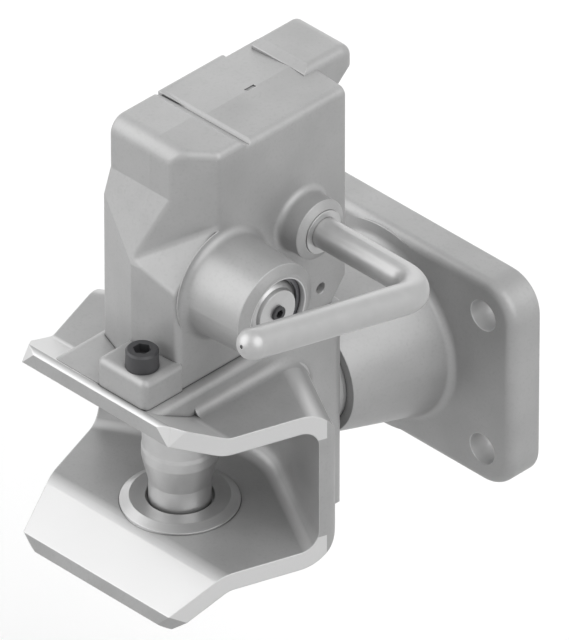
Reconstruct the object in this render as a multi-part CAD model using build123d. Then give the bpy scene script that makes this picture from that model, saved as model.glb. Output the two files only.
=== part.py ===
from build123d import *
import math
import os

# A tractor tow hitch with a 38 mm coupling pin, in millimetres.
# Origin: the middle of the flange's rear face, where it meets the tractor.
# +Y points to the tractor, +Z up, and +X is the side of the hand lever.
# A flange with a conical neck carries the swivelling head: a jaw with a shank, and on
# it a cast housing that holds the coupling pin, its lifting fork and the hand lever.

# Clearances
SEAT = 0.02  # round a piece that is pressed or set in its seat
RUN = 0.06  # round a shaft that turns or slides in its bush
SIDE = 0.5  # beside a piece that swings or turns between two walls

# Helps for cutting and for finding edges
BIG = 400.0  # larger than the hitch, for cutting planes
OVERLAP = 1.0  # how far a cut or a joined form reaches past a face
ROOT = 0.5  # how far a boss starts inside its wall
HULL_SPARE = 5.0  # how far the housing's side outline reaches past what trims it
NEAR = 1.0  # edges this near to a place belong to it
TINY = 0.01  # measures that differ by less are taken as the same

# Bearing flange with its neck
FLANGE_W = 180.0
FLANGE_H = 120.0
FLANGE_T = 21.0
FLANGE_CORNER = 20.0
FLANGE_FRONT_ROUND = 5.3
FLANGE_REAR_ROUND = 1.8
BOLT_X = 140.0
BOLT_Z = 80.0
BOLT_HOLE = 17.0
NECK_END = 75.0  # how far in front of the flange's rear face the neck ends
NECK_R_REAR = 49.5
NECK_R_FRONT = 34.6
NECK_FILLET = 4.5
RECESS_R = 36.0  # room for the nut in the rear of the flange
RECESS_DEPTH = 33.0

# Swivel shank, its bushes and what holds it at the rear
SHANK_R = 22.0
THREAD_R = 18.0
BUSH_WALL = 5.0
BUSH_FLANGE_T = 2.0
BUSH_LENGTH = 16.0
WASHER_T = 3.0
DISC_SPRING_T = 5.0
DISC_SPRING_CUP = 0.9  # how far one disc is cupped
DISC_GAP = 3.0  # between the discs or the washer and the wall of the recess
SHANK_SUNK = 1.0  # how far the shank ends inside the nut
NUT_FLATS = 55.0
NUT_H = 20.0
NUT_SLOT_DEPTH = 7.0
NUT_SLOTS = 6
NUT_CROWN_STEP = 1.5  # how far the crown stands inside the flats
NUT_CORNER_TRIM = 1.0
SPLIT_PIN_R = 3.0
SPLIT_PIN_HEAD = 0.4
SPLIT_PIN_SUNK = 1.0  # how far its ends lie inside the nut's flats

# Jaw
JAW_Z = 35.5  # half the height of its mouth
PLATE_T = 10.0
MOUTH_BEND_Y = -184.9  # where the plates start to flare
MOUTH_BEND_R = 20.0
FLARE_ANGLE = 28.5
LIP_Y = -218.6
LIP_HALF_W = 50.6
LIP_BULGE = 3.4  # how far the round nose of a lip stands out from its chord
LIP_TOP_RUN = 1.4  # how much farther the outer face of a lip reaches than its inner face
LIP_CORNER = (50.6, -218.4, 51.1)  # where the two facets of a lip's corner start
LIP_FACETS = ((0.374, -0.855, 0.361), (0.821, -0.484, 0.304))  # where the facets face
WALL_CORNER = (79.7, -131.4)  # outer rear corner of the wings, in X and Y
WALL_CORNER_ROUND = 7.0
WALL_ROUND = 20.0  # upper and lower rear edges of the wings
THROAT_HALF_W = 22.6  # where the slanting walls meet the round throat
THROAT_SIDE_Y = -110.8
THROAT_Y = -104.9
THROAT_FILLET = 10.0
WALL_SLOPE = 0.5616  # how fast the walls go back towards the middle
CORE_HALF_W = 35.0
CORE_HALF_H = 60.0
CORE_REAR_Y = -81.0
CORE_ROUND = 5.0
CORE_REAR_ROUND = 7.0
COLLAR_R = 30.0

# Coupling pin and its two bushes
PIN_Y = -160.7
PIN_R = 19.0
PIN_NECK_R = 8.0
PIN_HEAD_R = 13.5
PIN_HEAD_H = 7.0
PIN_HEAD_BEVEL = 1.0
PIN_HEAD_GAP = 1.0  # above the lifted pin's head
PIN_SHANK_GAP = 2.0  # above the lifted pin's thick shank
PIN_EDGE = 1.5  # bevel at the upper end of the thick shank
PIN_WAIST_DEPTH = 0.4
PIN_WAIST_Z = (0.7, 12.0)
PIN_WAIST_RUN = 2.4  # how softly the waist starts and ends
PIN_CROWN = ((19.0, -6.6), (18.4, -9.6), (16.3, -18.2), (15.5, -21.3))  # radius and Z
PIN_TIP_Z = -48.0
PIN_TIP_BEVEL = 4.0
PIN_STROKE = 86.0
PIN_SHANK_TOP = 56.0
GUIDE_BUSH_R = 23.0
GUIDE_BUSH_TOP = 64.0
GUIDE_BUSH_RECESS = 1.0
GUIDE_BUSH_BEVEL = 1.0
WEAR_RING_R = 29.8
WEAR_RING_FLAT_R = 25.1
WEAR_RING_RISE = 3.6
WEAR_RING_RIM = 1.0  # height of the ring's upright edge above the jaw
WEAR_RING_T = 7.0
WEAR_SLEEVE_R = 22.0
WEAR_SLEEVE_SUNK = 2.0  # how far the sleeve ends above the jaw's underside
WEAR_HOLE_R = 17.0
WEAR_HOLE_BEVEL = 0.4

# Housing
HOUSING_HALF_W = 30.0
HOUSING_REAR_Y = -76.9
RIDGE_SLOPE = 0.077  # fall of the top and the front from the middle to the sides
NOSE_Y = -193.5
NOSE_TOP_Z = 121.8
NOSE_LEFT = (-28.0, -183.3)  # where the slanting front face meets the left side
FRONT_Y = -180.5
FACET_TOP_Z = 159.6
TOP_Z = 185.0
CAP_RISE = 2.7  # of the cap above the top
CAP_FRONT_ROUND = 9.0
CAP_REAR_Y = -151.0
CAP_REACH = 3.0  # how far behind the cap its rounded edges may end
GROOVE_Y = -144.0
GROOVE_DEPTH = 1.8
TOP_FRONT_Y = -142.0
CORNER_CUT = 192.7  # the 45 degree cut lies where X minus Y has this value
SHOULDER_POINT = (3.1, -189.6, 126.8)
SHOULDER_NORMAL = (0.26, -0.68, 0.685)
HOUSING_ROUND = 4.0
LEFT_ROUND = 2.0
CHEEK_X = -33.7  # the raised pad on the left side, beside the lifting fork
CHEEK_Y = (-142.4, -98.5)
CHEEK_LOW_Z = 96.0
RIDGE_SLOT = (2.3, 6.5, 0.8)  # the small slot in the top: its width, length and depth
RIDGE_SLOT_X = 0.5  # of its right side
RIDGE_SLOT_Y = -111.3
HUMP_LEFT = -26.0
HUMP_RIGHT = 10.5
HUMP_RISE = 2.5  # above the top
HUMP_FOOT = 8.1  # how far in front of the rear face the hump's ramp starts
HUMP_START = 2.5  # how far in front of it the ramp ends
HUMP_REACH = 25.8  # how far behind the rear face the hump reaches
HUMP_UNDER_REACH = 15.9
HUMP_END_ROUND = 7.0
HUMP_TIP_H = 13.5
HUMP_TIP_ROUND = 2.0
HUMP_RIGHT_ROUND = 5.0
HUMP_UNDER_H = 22.5
HUMP_ROOT_H = 37.5
REAR_FOOT_RUN = 10.1  # the slant at the foot of the rear face
REAR_FOOT_Z = 72.6
VENT_R = 3.0
VENT_Y = -93.4
VENT_Z = 72.6
VENT_DEPTH = 10.0

# Foot of the housing with its screw
FOOT_X = (-2.7, 31.0)
FOOT_FRONT_Y = -215.0
FOOT_Z = 76.4
FOOT_ROUND = 3.6
FOOT_ROOT = 4.0  # how far the foot reaches into the housing's nose
SCREW_X = 18.5
SCREW_Y = -204.3
SCREW_R = 5.0
SCREW_HEAD_R = 8.25
SCREW_HEAD_H = 10.0
SCREW_HEX = 8.0
SCREW_LENGTH = 26.0
SCREW_HEAD_BEVEL = 0.8
SCREW_TIP_BEVEL = 1.0
SCREW_HOLE_SPARE = 2.0  # how much deeper the hole is than the screw
DOWEL_R = 5.0
DOWEL_LENGTH = 20.0
DOWEL_X = 22.0
DOWEL_Y = -95.0

# Lever shaft, lifting fork and hand lever
SHAFT_Y = -106.9
SHAFT_Z = 120.3
ROD_R = 8.0
LEVER_BUSH_R = 11.5
LEVER_BUSH_PROUD = 0.8  # how far the outer bush stands out of its boss
SMALL_BOSS_R = 16.0
SMALL_BOSS_RIM_R = 12.0
SMALL_BOSS_END = 44.8
SMALL_BOSS_BEVEL = 2.3
SMALL_BOSS_FILLET = 3.5
SHAFT_END_GAP = 1.5  # between the shaft's left end and the plug
LEVER_X = 116.7
LEVER_BEND_R = 18.0
LEVER_LEG = 131.2
LEVER_RISE = 13.76
LEVER_DIMPLE_R = 1.0
LEVER_DIMPLE_DEPTH = 1.0
ARM = 60.0
FORK_HUB_R = 17.0
FORK_HALF_W = 15.0
TINE_T = 5.5
TINE_HALF_H = 6.0
TINE_END_R = 7.0
FORK_PLAY = 2.3  # above and below the fork's ends in the pin's groove
CROSS_PIN_R = 3.0
CROSS_PIN_SUNK = 0.5  # how far its ends lie inside the hub
CHAMBER_GAP = 2.0
CHAMBER_REAR_GAP = 1.4  # behind the fork's hub
CHAMBER_ROOF = 9.0
PLUG_R = 13.0
PLUG_T = 3.0
PLUG_BEVEL = 0.6
SPRING_WIRE_R = 1.9
SPRING_R = 12.6
SPRING_TURNS = 2.25
SPRING_END_GAP = 0.8

# Trigger lever behind the coupling pin
TRIGGER_Y = -123.0
TRIGGER_Z = 80.0
TRIGGER_BOSS_R = 9.0
TRIGGER_T = 10.0
TRIGGER_NOSE = (-129.0, 22.0)
TRIGGER_NOSE_R = 5.0
TRIGGER_PAWL = (-127.0, 101.0)
TRIGGER_PAWL_R = 3.0
TRIGGER_WEB_R = 6.5  # half the width of both arms where they meet the boss
TRIGGER_SWING = 20.0
TRIGGER_PIN_R = 5.0
TRIGGER_PIN_HALF = 23.0
TRIGGER_SPRING_R = 7.0
TRIGGER_WIRE_R = 0.7
TRIGGER_SPRING_PITCH = 1.6
TRIGGER_SPRING_TURNS = 1.75
TRIGGER_SPRING_GAP = 0.2

# Big side boss with the holding plunger
BOSS_Y = -160.0
BOSS_Z = 109.5
BOSS_R = 27.0  # at its foot
BOSS_END_R = 25.3
BOSS_RIM_R = 20.5
BOSS_END = 67.2
BOSS_BEVEL = 2.4
BOSS_FILLET = 4.2
BOSS_BORE_R = 18.3
BOSS_BORE_START = 36.0
COVER_R = 11.9
COVER_EDGE = (12.7, 2.1)  # radius and depth where the raised middle starts
COVER_CONE_R = 15.8
COVER_STEP_T = 5.0
COVER_FACE = 67.0
COVER_T = 7.5
RING_GROOVE_T = 2.0
RING_GROOVE_DEPTH = 1.6
RING_T = 1.75
RING_INNER_R = 16.2
RING_GAP_W = 5.0
RING_GAP_TURN = 40.0  # degrees from the middle of the gap to +Z
COVER_SCREW_R = 3.0
COVER_SCREW_HEAD_R = 3.9
COVER_SCREW_HEAD_H = 1.4
COVER_SCREW_HEX = 4.0
PLUNGER_R = 8.0
PLUNGER_HEAD_R = 12.0
PLUNGER_HEAD_T = 5.0
PLUNGER_STROKE = 5.0
PLUNGER_TIP_BEVEL = 3.0
PLUNGER_GAP = 0.3
PLUNGER_SPRING_R = 9.5
PLUNGER_WIRE_R = 1.3
PLUNGER_SPRING_TURNS = 3.5
PLUNGER_SPRING_GAPS = (0.3, 0.2)  # at the plunger pushed back, and at the cover

# Grease nipple in the left side of the neck
NIPPLE_Y = -50.0
NIPPLE_R = 3.0
NIPPLE_HEX = 8.0
NIPPLE_HEX_H = 4.0
NIPPLE_HEAD_H = 7.0
NIPPLE_NECK_R = 2.25
NIPPLE_NECK_H = 2.0
NIPPLE_CONE_H = 1.5
NIPPLE_TIP_R = 1.5
NIPPLE_TIP_H = 1.5

# Sizes that follow from the ones above
NECK_BORE_R = SHANK_R + RUN + BUSH_WALL
FLARE = math.radians(FLARE_ANGLE)
FORK_TURN = 2.0 * math.asin(PIN_STROKE / 2.0 / ARM)
FORK_END_Z = SHAFT_Z - PIN_STROKE / 2.0
GROOVE_LOW = FORK_END_Z - TINE_END_R - FORK_PLAY
GROOVE_HIGH = FORK_END_Z + TINE_END_R + FORK_PLAY
PIN_TOP = GROOVE_HIGH + PIN_HEAD_H
PIN_BORE_R = PIN_R + RUN
CAP_Z = TOP_Z + CAP_RISE
GROOVE_Z = TOP_Z - GROOVE_DEPTH
HUMP_Z = TOP_Z + HUMP_RISE
REAR_FOOT_Y = HOUSING_REAR_Y - REAR_FOOT_RUN
FRONT_FACE_Y = -NECK_END - BUSH_FLANGE_T
STACK_FRONT_Y = -RECESS_DEPTH + BUSH_FLANGE_T
SPRING_REAR_Y = STACK_FRONT_Y + DISC_SPRING_T
WASHER_REAR_Y = SPRING_REAR_Y + WASHER_T
NUT_REAR_Y = WASHER_REAR_Y + NUT_H
SHANK_END_Y = NUT_REAR_Y - SHANK_SUNK
SPLIT_PIN_Y = NUT_REAR_Y - NUT_SLOT_DEPTH / 2.0
ALONG_X = (0, 0, -90)
ALONG_Z = (90, 0, 0)


def turned(profile, at=(0, 0, 0), turn=(0, 0, 0)):
    """A turned piece: the outline of (radius, length) points goes round its own Y axis."""
    face = make_face(Polyline(*profile, close=True))
    return Location(at, turn) * revolve(face, Axis.Y)


def turned_round(profile, rounds, at=(0, 0, 0), turn=(0, 0, 0)):
    """A turned piece some of whose corners are rounds: pairs of a corner and its radius."""
    face = make_face(Polyline(*profile, close=True))
    for (r, y), radius in rounds:
        face = fillet(face.vertices().sort_by_distance((r, y, 0))[0], radius)
    return Location(at, turn) * revolve(face, Axis.Y)


def drum(radius, start, end, at=(0, 0, 0), turn=(0, 0, 0)):
    """A plain cylinder from start to end along the axis that turn gives."""
    return turned([(0, start), (radius, start), (radius, end), (0, end)], at, turn)


def block(x, y, z):
    """A box between the lower and upper values of x, y and z."""
    size = [high - low for low, high in (x, y, z)]
    middle = [(low + high) / 2.0 for low, high in (x, y, z)]
    return Pos(*middle) * Box(*size)


def hexagon(flats, start, end, at, turn):
    """A six-sided bar, flats across, along the axis that turn gives."""
    sketch = RegularPolygon(flats / math.sqrt(3.0), 6)
    bar = extrude(Pos(0, 0, start) * sketch, end - start)
    return Location(at, turn) * (Rot(-90, 0, 0) * bar)


def coil(radius, wire, pitch, turns, at, turn):
    """A spring of round wire that winds along the axis that turn gives."""
    path = Helix(pitch=pitch, height=pitch * turns, radius=radius)
    section = Plane(origin=path @ 0, z_dir=path % 0) * Circle(wire)
    spring = sweep(section, path=path, is_frenet=True)
    return Location(at, turn) * (Rot(-90, 0, 0) * spring)


def mirrored(shape, plane):
    """The shape together with its mirror image."""
    return shape + mirror(shape, about=plane)


# Bearing flange and what turns in it


def make_bearing_flange():
    outline = RectangleRounded(FLANGE_W, FLANGE_H, FLANGE_CORNER)
    plate = extrude(Plane.XZ * outline, FLANGE_T)
    plate = fillet(plate.edges().group_by(Axis.Y)[0], FLANGE_FRONT_ROUND)
    plate = chamfer(plate.edges().group_by(Axis.Y)[-1], FLANGE_REAR_ROUND)
    foot = (NECK_R_REAR, -FLANGE_T)
    rim = NECK_R_REAR + 2.0 * NECK_FILLET
    neck = turned_round([
        (0, -FLANGE_T / 2.0), (rim, -FLANGE_T / 2.0), (rim, -FLANGE_T), foot,
        (NECK_R_FRONT, -NECK_END), (0, -NECK_END),
    ], [(foot, NECK_FILLET)])
    holes = [
        drum(BOLT_HOLE / 2.0, -BIG, BIG, (x, 0, z))
        for x in (-BOLT_X / 2.0, BOLT_X / 2.0)
        for z in (-BOLT_Z / 2.0, BOLT_Z / 2.0)
    ]
    inner = [
        drum(RECESS_R, -RECESS_DEPTH, BIG),
        drum(NECK_BORE_R + SEAT, -BIG, BIG),
    ]
    thread = drum(NIPPLE_R + SEAT, 0, BIG, (0, NIPPLE_Y, 0), (0, 0, 90))
    return plate + neck - holes - inner - thread


def make_swivel_bush(flange_y, inward):
    """A flanged bush in the neck: its flange lies at flange_y and its sleeve goes inward."""
    step = BUSH_FLANGE_T * inward
    end = BUSH_LENGTH * inward
    inner = SHANK_R + RUN
    outer = NECK_BORE_R
    profile = [
        (inner, flange_y - step),
        (outer + BUSH_WALL / 2.0, flange_y - step),
        (outer + BUSH_WALL / 2.0, flange_y),
        (outer, flange_y),
        (outer, flange_y + end),
        (inner, flange_y + end),
    ]
    return turned(profile)


def make_front_bearing_bush():
    return make_swivel_bush(-NECK_END, 1.0)


def make_rear_bearing_bush():
    return make_swivel_bush(-RECESS_DEPTH, -1.0)


def neck_radius(y):
    """Outer radius of the neck at a place in front of the flange."""
    slope = (NECK_R_REAR - NECK_R_FRONT) / (NECK_END - FLANGE_T)
    return NECK_R_REAR - slope * (-FLANGE_T - y)


def make_grease_nipple():
    at = (0, NIPPLE_Y, 0)
    turn = (0, 0, 90)
    seat = neck_radius(NIPPLE_Y) + NIPPLE_HEX_H / 2.0
    stem = drum(NIPPLE_R, seat - NIPPLE_HEX_H * 2.0, seat, at, turn)
    nut = hexagon(NIPPLE_HEX, seat, seat + NIPPLE_HEX_H, at, turn)
    top = seat + NIPPLE_HEX_H
    end = top + NIPPLE_HEAD_H
    head = turned(
        [(0, top), (NIPPLE_NECK_R, top), (NIPPLE_NECK_R, top + NIPPLE_NECK_H),
         (NIPPLE_R, top + NIPPLE_NECK_H + NIPPLE_CONE_H), (NIPPLE_R, end - NIPPLE_TIP_H),
         (NIPPLE_TIP_R, end), (0, end)],
        at, turn,
    )
    return stem + nut + head


# Swivel shank parts at the rear


def make_disc_spring():
    """Two cupped spring washers back to back, which brake the swivel."""
    inner = THREAD_R + SIDE
    outer = RECESS_R - DISC_GAP
    y = STACK_FRONT_Y
    half = DISC_SPRING_T / 2.0
    cup = [(inner, y + DISC_SPRING_CUP), (outer, y), (outer, y + half), (inner, y + half)]
    return turned(cup) + turned([(r, 2 * (y + half) - v) for r, v in cup])


def make_rear_washer():
    y = SPRING_REAR_Y
    return drum(RECESS_R - DISC_GAP, y, y + WASHER_T) - drum(THREAD_R + SIDE, -BIG, BIG)


def make_castle_nut():
    body = hexagon(NUT_FLATS, WASHER_REAR_Y, NUT_REAR_Y, (0, 0, 0), (0, 0, 0))
    crown_y = NUT_REAR_Y - NUT_SLOT_DEPTH
    crown = drum(NUT_FLATS / 2.0 - NUT_CROWN_STEP, crown_y, NUT_REAR_Y)
    bar = body & drum(NUT_FLATS / math.sqrt(3.0) - NUT_CORNER_TRIM, WASHER_REAR_Y, crown_y)
    nut = bar + crown
    nut -= drum(THREAD_R + SEAT, -BIG, BIG)
    half = SPLIT_PIN_R + SIDE
    for i in range(NUT_SLOTS // 2):
        slot = block((-BIG, BIG), (crown_y + SIDE, 0), (-half, half))
        nut -= Rot(0, 360.0 / NUT_SLOTS * i, 0) * slot
    return nut


def make_split_pin():
    """A split pin through the nut's slots, with a round head at one end."""
    length = NUT_FLATS / 2.0 - SPLIT_PIN_SUNK
    head = SPLIT_PIN_R + SPLIT_PIN_HEAD
    return turned([
        (0, -length - SPLIT_PIN_HEAD), (head, -length - SPLIT_PIN_HEAD), (head, -length),
        (SPLIT_PIN_R, -length), (SPLIT_PIN_R, length), (0, length),
    ], (0, SPLIT_PIN_Y, 0), ALONG_X)


# Jaw


def lip_point(radius, along):
    """Y and Z on a flared face: radius is that of its bend, along its straight length."""
    centre_z = JAW_Z + MOUTH_BEND_R
    y = MOUTH_BEND_Y - radius * math.sin(FLARE) - along * math.cos(FLARE)
    z = centre_z - radius * math.cos(FLARE) + along * math.sin(FLARE)
    return y, z


def flare_length():
    bend_end = lip_point(MOUTH_BEND_R, 0.0)[0]
    return (bend_end - LIP_Y) / math.cos(FLARE)


def bend_arc(radius):
    """The bend of a flared face as an arc in Y and Z."""
    centre_z = JAW_Z + MOUTH_BEND_R
    half = FLARE / 2.0
    middle = (MOUTH_BEND_Y - radius * math.sin(half), centre_z - radius * math.cos(half))
    return ThreePointArc((MOUTH_BEND_Y, centre_z - radius), middle, lip_point(radius, 0.0))


def plate_outline():
    """Plan of the jaw: a cut-off arrow that widens to the wings and narrows to the core."""
    x, y = WALL_CORNER
    back_y = y + (x - CORE_HALF_W) * WALL_SLOPE
    half = [(LIP_HALF_W, LIP_Y), (x, y), (CORE_HALF_W, back_y), (CORE_HALF_W, CORE_REAR_Y)]
    points = half + [(-px, py) for px, py in reversed(half)]
    return make_face(Polyline(*points, close=True))


def outline_prism(half_height):
    """The jaw's plan as a prism, with the corners of the wings and of the core rounded."""
    prism = extrude(Pos(0, 0, -half_height) * plate_outline(), 2.0 * half_height)
    upright = prism.edges().filter_by(Axis.Z)
    wings = [e for e in upright if abs(e.center().Y - WALL_CORNER[1]) < NEAR]
    core = [e for e in upright if abs(e.center().Y - CORE_REAR_Y) < NEAR]
    prism = fillet(wings, WALL_CORNER_ROUND)
    return fillet(edges_near(prism, core), CORE_REAR_ROUND)


def edges_near(solid, wanted):
    """The edges of a solid whose middles are where those of the wanted edges were."""
    return [
        e for e in solid.edges()
        if any((e.center() - w.center()).length < TINY for w in wanted)
    ]


def flared_plate():
    """The upper plate, flat at the back and bent up at its lip."""
    top_r = MOUTH_BEND_R - PLATE_T
    run = flare_length()
    start_y = CORE_REAR_Y
    low_lip = Vector(*lip_point(MOUTH_BEND_R, run))
    high_lip = Vector(*lip_point(top_r, run + LIP_TOP_RUN))
    out = (high_lip - low_lip).rotate(Axis.Z, 90.0).normalized() * LIP_BULGE
    edges = [
        Line((start_y, JAW_Z), (MOUTH_BEND_Y, JAW_Z)),
        bend_arc(MOUTH_BEND_R),
        Line(lip_point(MOUTH_BEND_R, 0.0), low_lip),
        ThreePointArc(low_lip, (low_lip + high_lip) * 0.5 + out, high_lip),
        Line(high_lip, lip_point(top_r, 0.0)),
        bend_arc(top_r),
        Line((MOUTH_BEND_Y, JAW_Z + PLATE_T), (start_y, JAW_Z + PLATE_T)),
        Line((start_y, JAW_Z + PLATE_T), (start_y, JAW_Z)),
    ]
    face = make_face(edges)
    half_w = WALL_CORNER[0]
    plate = extrude(Pos(-half_w, 0, 0) * (Plane.YZ * face), 2.0 * half_w)
    for x, y, z in LIP_FACETS:
        for side in (-1.0, 1.0):
            corner = (side * LIP_CORNER[0], LIP_CORNER[1], LIP_CORNER[2])
            facet = Plane(origin=corner, z_dir=(side * x, y, z))
            plate = split(plate, bisect_by=facet, keep=Keep.BOTTOM)
    return plate


def wall_room():
    """What lies in front of the slanting rear walls, whose long edges are rounded."""
    x, y = WALL_CORNER
    deep = -LIP_Y
    room = Pos(0, -deep / 2.0, 0) * Box(2.0 * deep, deep, 2.0 * (JAW_Z + PLATE_T))
    room = fillet(room.edges().filter_by(Axis.X).group_by(Axis.Y)[-1], WALL_ROUND)
    turn = -math.degrees(math.atan(WALL_SLOPE))
    side = Location((x, y, 0), (0, 0, turn)) * room
    return mirrored(side & block((0, BIG), (-BIG, 0), (-BIG, BIG)), Plane.YZ)


def lips():
    """The part of both plates in front of where they start to flare."""
    front = block((-BIG, BIG), (-BIG, MOUTH_BEND_Y), (0, BIG))
    return mirrored(flared_plate() & front, Plane.XY)


def mouth_tool():
    """What the flared mouth leaves open between the two plates."""
    far = flare_length() * 2.0
    end = lip_point(MOUTH_BEND_R, far)
    edges = [
        Line((THROAT_Y, 0), (THROAT_Y, JAW_Z)),
        Line((THROAT_Y, JAW_Z), (MOUTH_BEND_Y, JAW_Z)),
        bend_arc(MOUTH_BEND_R),
        Line(lip_point(MOUTH_BEND_R, 0.0), end),
        Line(end, (end[0], 0)),
        Line((end[0], 0), (THROAT_Y, 0)),
    ]
    upper = extrude(Pos(-BIG, 0, 0) * (Plane.YZ * make_face(edges)), 2.0 * BIG)
    return mirrored(upper, Plane.XY)


def throat_tool():
    """The space between the plates in plan: slanting walls that meet in a round throat."""
    x, y = THROAT_HALF_W, THROAT_SIDE_Y
    wide = BIG / 2.0
    side_y = y - (wide - x) * WALL_SLOPE
    front = -BIG
    edges = [
        Line((wide, front), (wide, side_y)),
        Line((wide, side_y), (x, y)),
        ThreePointArc((x, y), (0, THROAT_Y), (-x, y)),
        Line((-x, y), (-wide, side_y)),
        Line((-wide, side_y), (-wide, front)),
        Line((-wide, front), (wide, front)),
    ]
    tool = extrude(Pos(0, 0, -JAW_Z) * make_face(edges), 2.0 * JAW_Z)
    flat = [e for e in tool.edges() if abs(abs(e.center().Z) - JAW_Z) < TINY]
    back = [e for e in flat if e.center().Y > side_y + NEAR]
    return fillet(back, THROAT_FILLET)


def jaw_core():
    """The raised middle of the jaw, from lip to lip round the back."""
    section = RectangleRounded(2.0 * CORE_HALF_W, 2.0 * CORE_HALF_H, CORE_ROUND)
    lip_y = lip_point(MOUTH_BEND_R - PLATE_T, flare_length())[0]
    return extrude(Plane.XZ.offset(-CORE_REAR_Y) * section, CORE_REAR_Y - lip_y)


def core_foot(body):
    """The edges where the sides of the raised middle meet the wings and the rear walls."""
    found = []
    for edge in body.edges():
        ends = [abs(abs((edge @ t).X) - CORE_HALF_W) for t in (0.0, 0.5, 1.0)]
        high = max(abs((edge @ t).Z) for t in (0.0, 1.0))
        if max(ends) < TINY and high < CORE_HALF_H - CORE_ROUND - TINY:
            found.append(edge)
    return found


def jaw_shank():
    """The round shank that the head turns on, with its thrust collar and its thread."""
    shank_rear = STACK_FRONT_Y
    return turned([
        (0, CORE_REAR_Y - OVERLAP),
        (COLLAR_R, CORE_REAR_Y - OVERLAP),
        (COLLAR_R, FRONT_FACE_Y),
        (SHANK_R, FRONT_FACE_Y),
        (SHANK_R, shank_rear),
        (THREAD_R, shank_rear),
        (THREAD_R, SHANK_END_Y),
        (0, SHANK_END_Y),
    ])


def trigger_slot():
    """The slot behind the pin through which the trigger lever reaches into the mouth."""
    half = TRIGGER_T / 2.0 + SIDE
    room = TRIGGER_NOSE_R + SIDE
    arm = Vector(0, TRIGGER_NOSE[0] - TRIGGER_Y, TRIGGER_NOSE[1] - TRIGGER_Z)
    swung = arm.rotate(Axis.X, TRIGGER_SWING)
    front_y = TRIGGER_NOSE[0] - room
    rear_y = TRIGGER_Y + swung.Y + room
    low_z = TRIGGER_Z + swung.Z - room
    return block((-half, half), (front_y, rear_y), (low_z, CORE_HALF_H + OVERLAP))


def make_jaw():
    outline = outline_prism(BIG / 2.0)
    body = (wall_room() + jaw_core()) & outline & block((-BIG, BIG), (MOUTH_BEND_Y, 0), (-BIG, BIG))
    body = fillet(core_foot(body), CORE_ROUND)
    body += (lips() + jaw_core()) & outline
    body -= throat_tool()
    body -= mouth_tool() & block((-BIG, BIG), (-BIG, MOUTH_BEND_Y + OVERLAP), (-BIG, BIG))
    body -= foot()
    body += jaw_shank()
    at = (0, PIN_Y, 0)
    body -= drum(GUIDE_BUSH_R + SEAT, 0, BIG, at, ALONG_Z)
    body -= drum(WEAR_SLEEVE_R + SEAT, -BIG, 0, at, ALONG_Z)
    body -= drum(WEAR_RING_R + SEAT, wear_ring_seat(), 0, at, ALONG_Z)
    body -= trigger_slot()
    screw_low = FOOT_Z - SCREW_LENGTH - SCREW_HOLE_SPARE
    body -= drum(SCREW_R + SEAT, screw_low, BIG, (SCREW_X, SCREW_Y, 0), ALONG_Z)
    body -= dowels(SEAT)
    body -= drum(SPLIT_PIN_R + SEAT, -BIG, BIG, (0, SPLIT_PIN_Y, 0), ALONG_X)
    return body


def dowels(extra):
    """The two dowels that place the housing on the jaw, made larger for their holes."""
    low = CORE_HALF_H - DOWEL_LENGTH / 2.0
    high = CORE_HALF_H + DOWEL_LENGTH / 2.0
    return [
        drum(DOWEL_R + extra, low, high, (x, DOWEL_Y, 0), ALONG_Z)
        for x in (-DOWEL_X, DOWEL_X)
    ]


def wear_ring_seat():
    return -JAW_Z + WEAR_RING_RISE - WEAR_RING_T


def make_lower_wear_ring():
    top = -JAW_Z + WEAR_RING_RISE
    seat = wear_ring_seat()
    low = -CORE_HALF_H + WEAR_SLEEVE_SUNK
    bevel = WEAR_HOLE_BEVEL
    return turned([
        (WEAR_HOLE_R, low), (WEAR_SLEEVE_R, low), (WEAR_SLEEVE_R, seat), (WEAR_RING_R, seat),
        (WEAR_RING_R, -JAW_Z + WEAR_RING_RIM), (WEAR_RING_FLAT_R, top),
        (WEAR_HOLE_R + bevel, top), (WEAR_HOLE_R, top - bevel),
    ], (0, PIN_Y, 0), ALONG_Z)


def make_upper_guide_bush():
    low = JAW_Z + GUIDE_BUSH_RECESS
    bevel = GUIDE_BUSH_BEVEL
    return turned([
        (PIN_BORE_R, low + bevel), (PIN_BORE_R + bevel, low), (GUIDE_BUSH_R, low),
        (GUIDE_BUSH_R, GUIDE_BUSH_TOP), (PIN_BORE_R, GUIDE_BUSH_TOP),
    ], (0, PIN_Y, 0), ALONG_Z)


def make_coupling_pin():
    """The crowned coupling pin with its tapered tip, its groove and its head."""
    tip_r = PIN_CROWN[-1][0]
    waist_r = PIN_R - PIN_WAIST_DEPTH
    low, high = PIN_WAIST_Z
    return turned([
        (0, PIN_TIP_Z), (tip_r - PIN_TIP_BEVEL, PIN_TIP_Z), (tip_r, PIN_TIP_Z + PIN_TIP_BEVEL),
        *reversed(PIN_CROWN),
        (PIN_R, low - PIN_WAIST_RUN), (waist_r, low), (waist_r, high),
        (PIN_R, high + PIN_WAIST_RUN), (PIN_R, PIN_SHANK_TOP - PIN_EDGE),
        (PIN_R - PIN_EDGE, PIN_SHANK_TOP), (PIN_HEAD_R, PIN_SHANK_TOP),
        (PIN_HEAD_R, GROOVE_LOW), (PIN_NECK_R, GROOVE_LOW), (PIN_NECK_R, GROOVE_HIGH),
        (PIN_HEAD_R, GROOVE_HIGH), (PIN_HEAD_R, PIN_TOP - PIN_HEAD_BEVEL),
        (PIN_HEAD_R - PIN_HEAD_BEVEL, PIN_TOP),
        (0, PIN_TOP),
    ], (0, PIN_Y, 0), ALONG_Z)


# Housing


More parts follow.
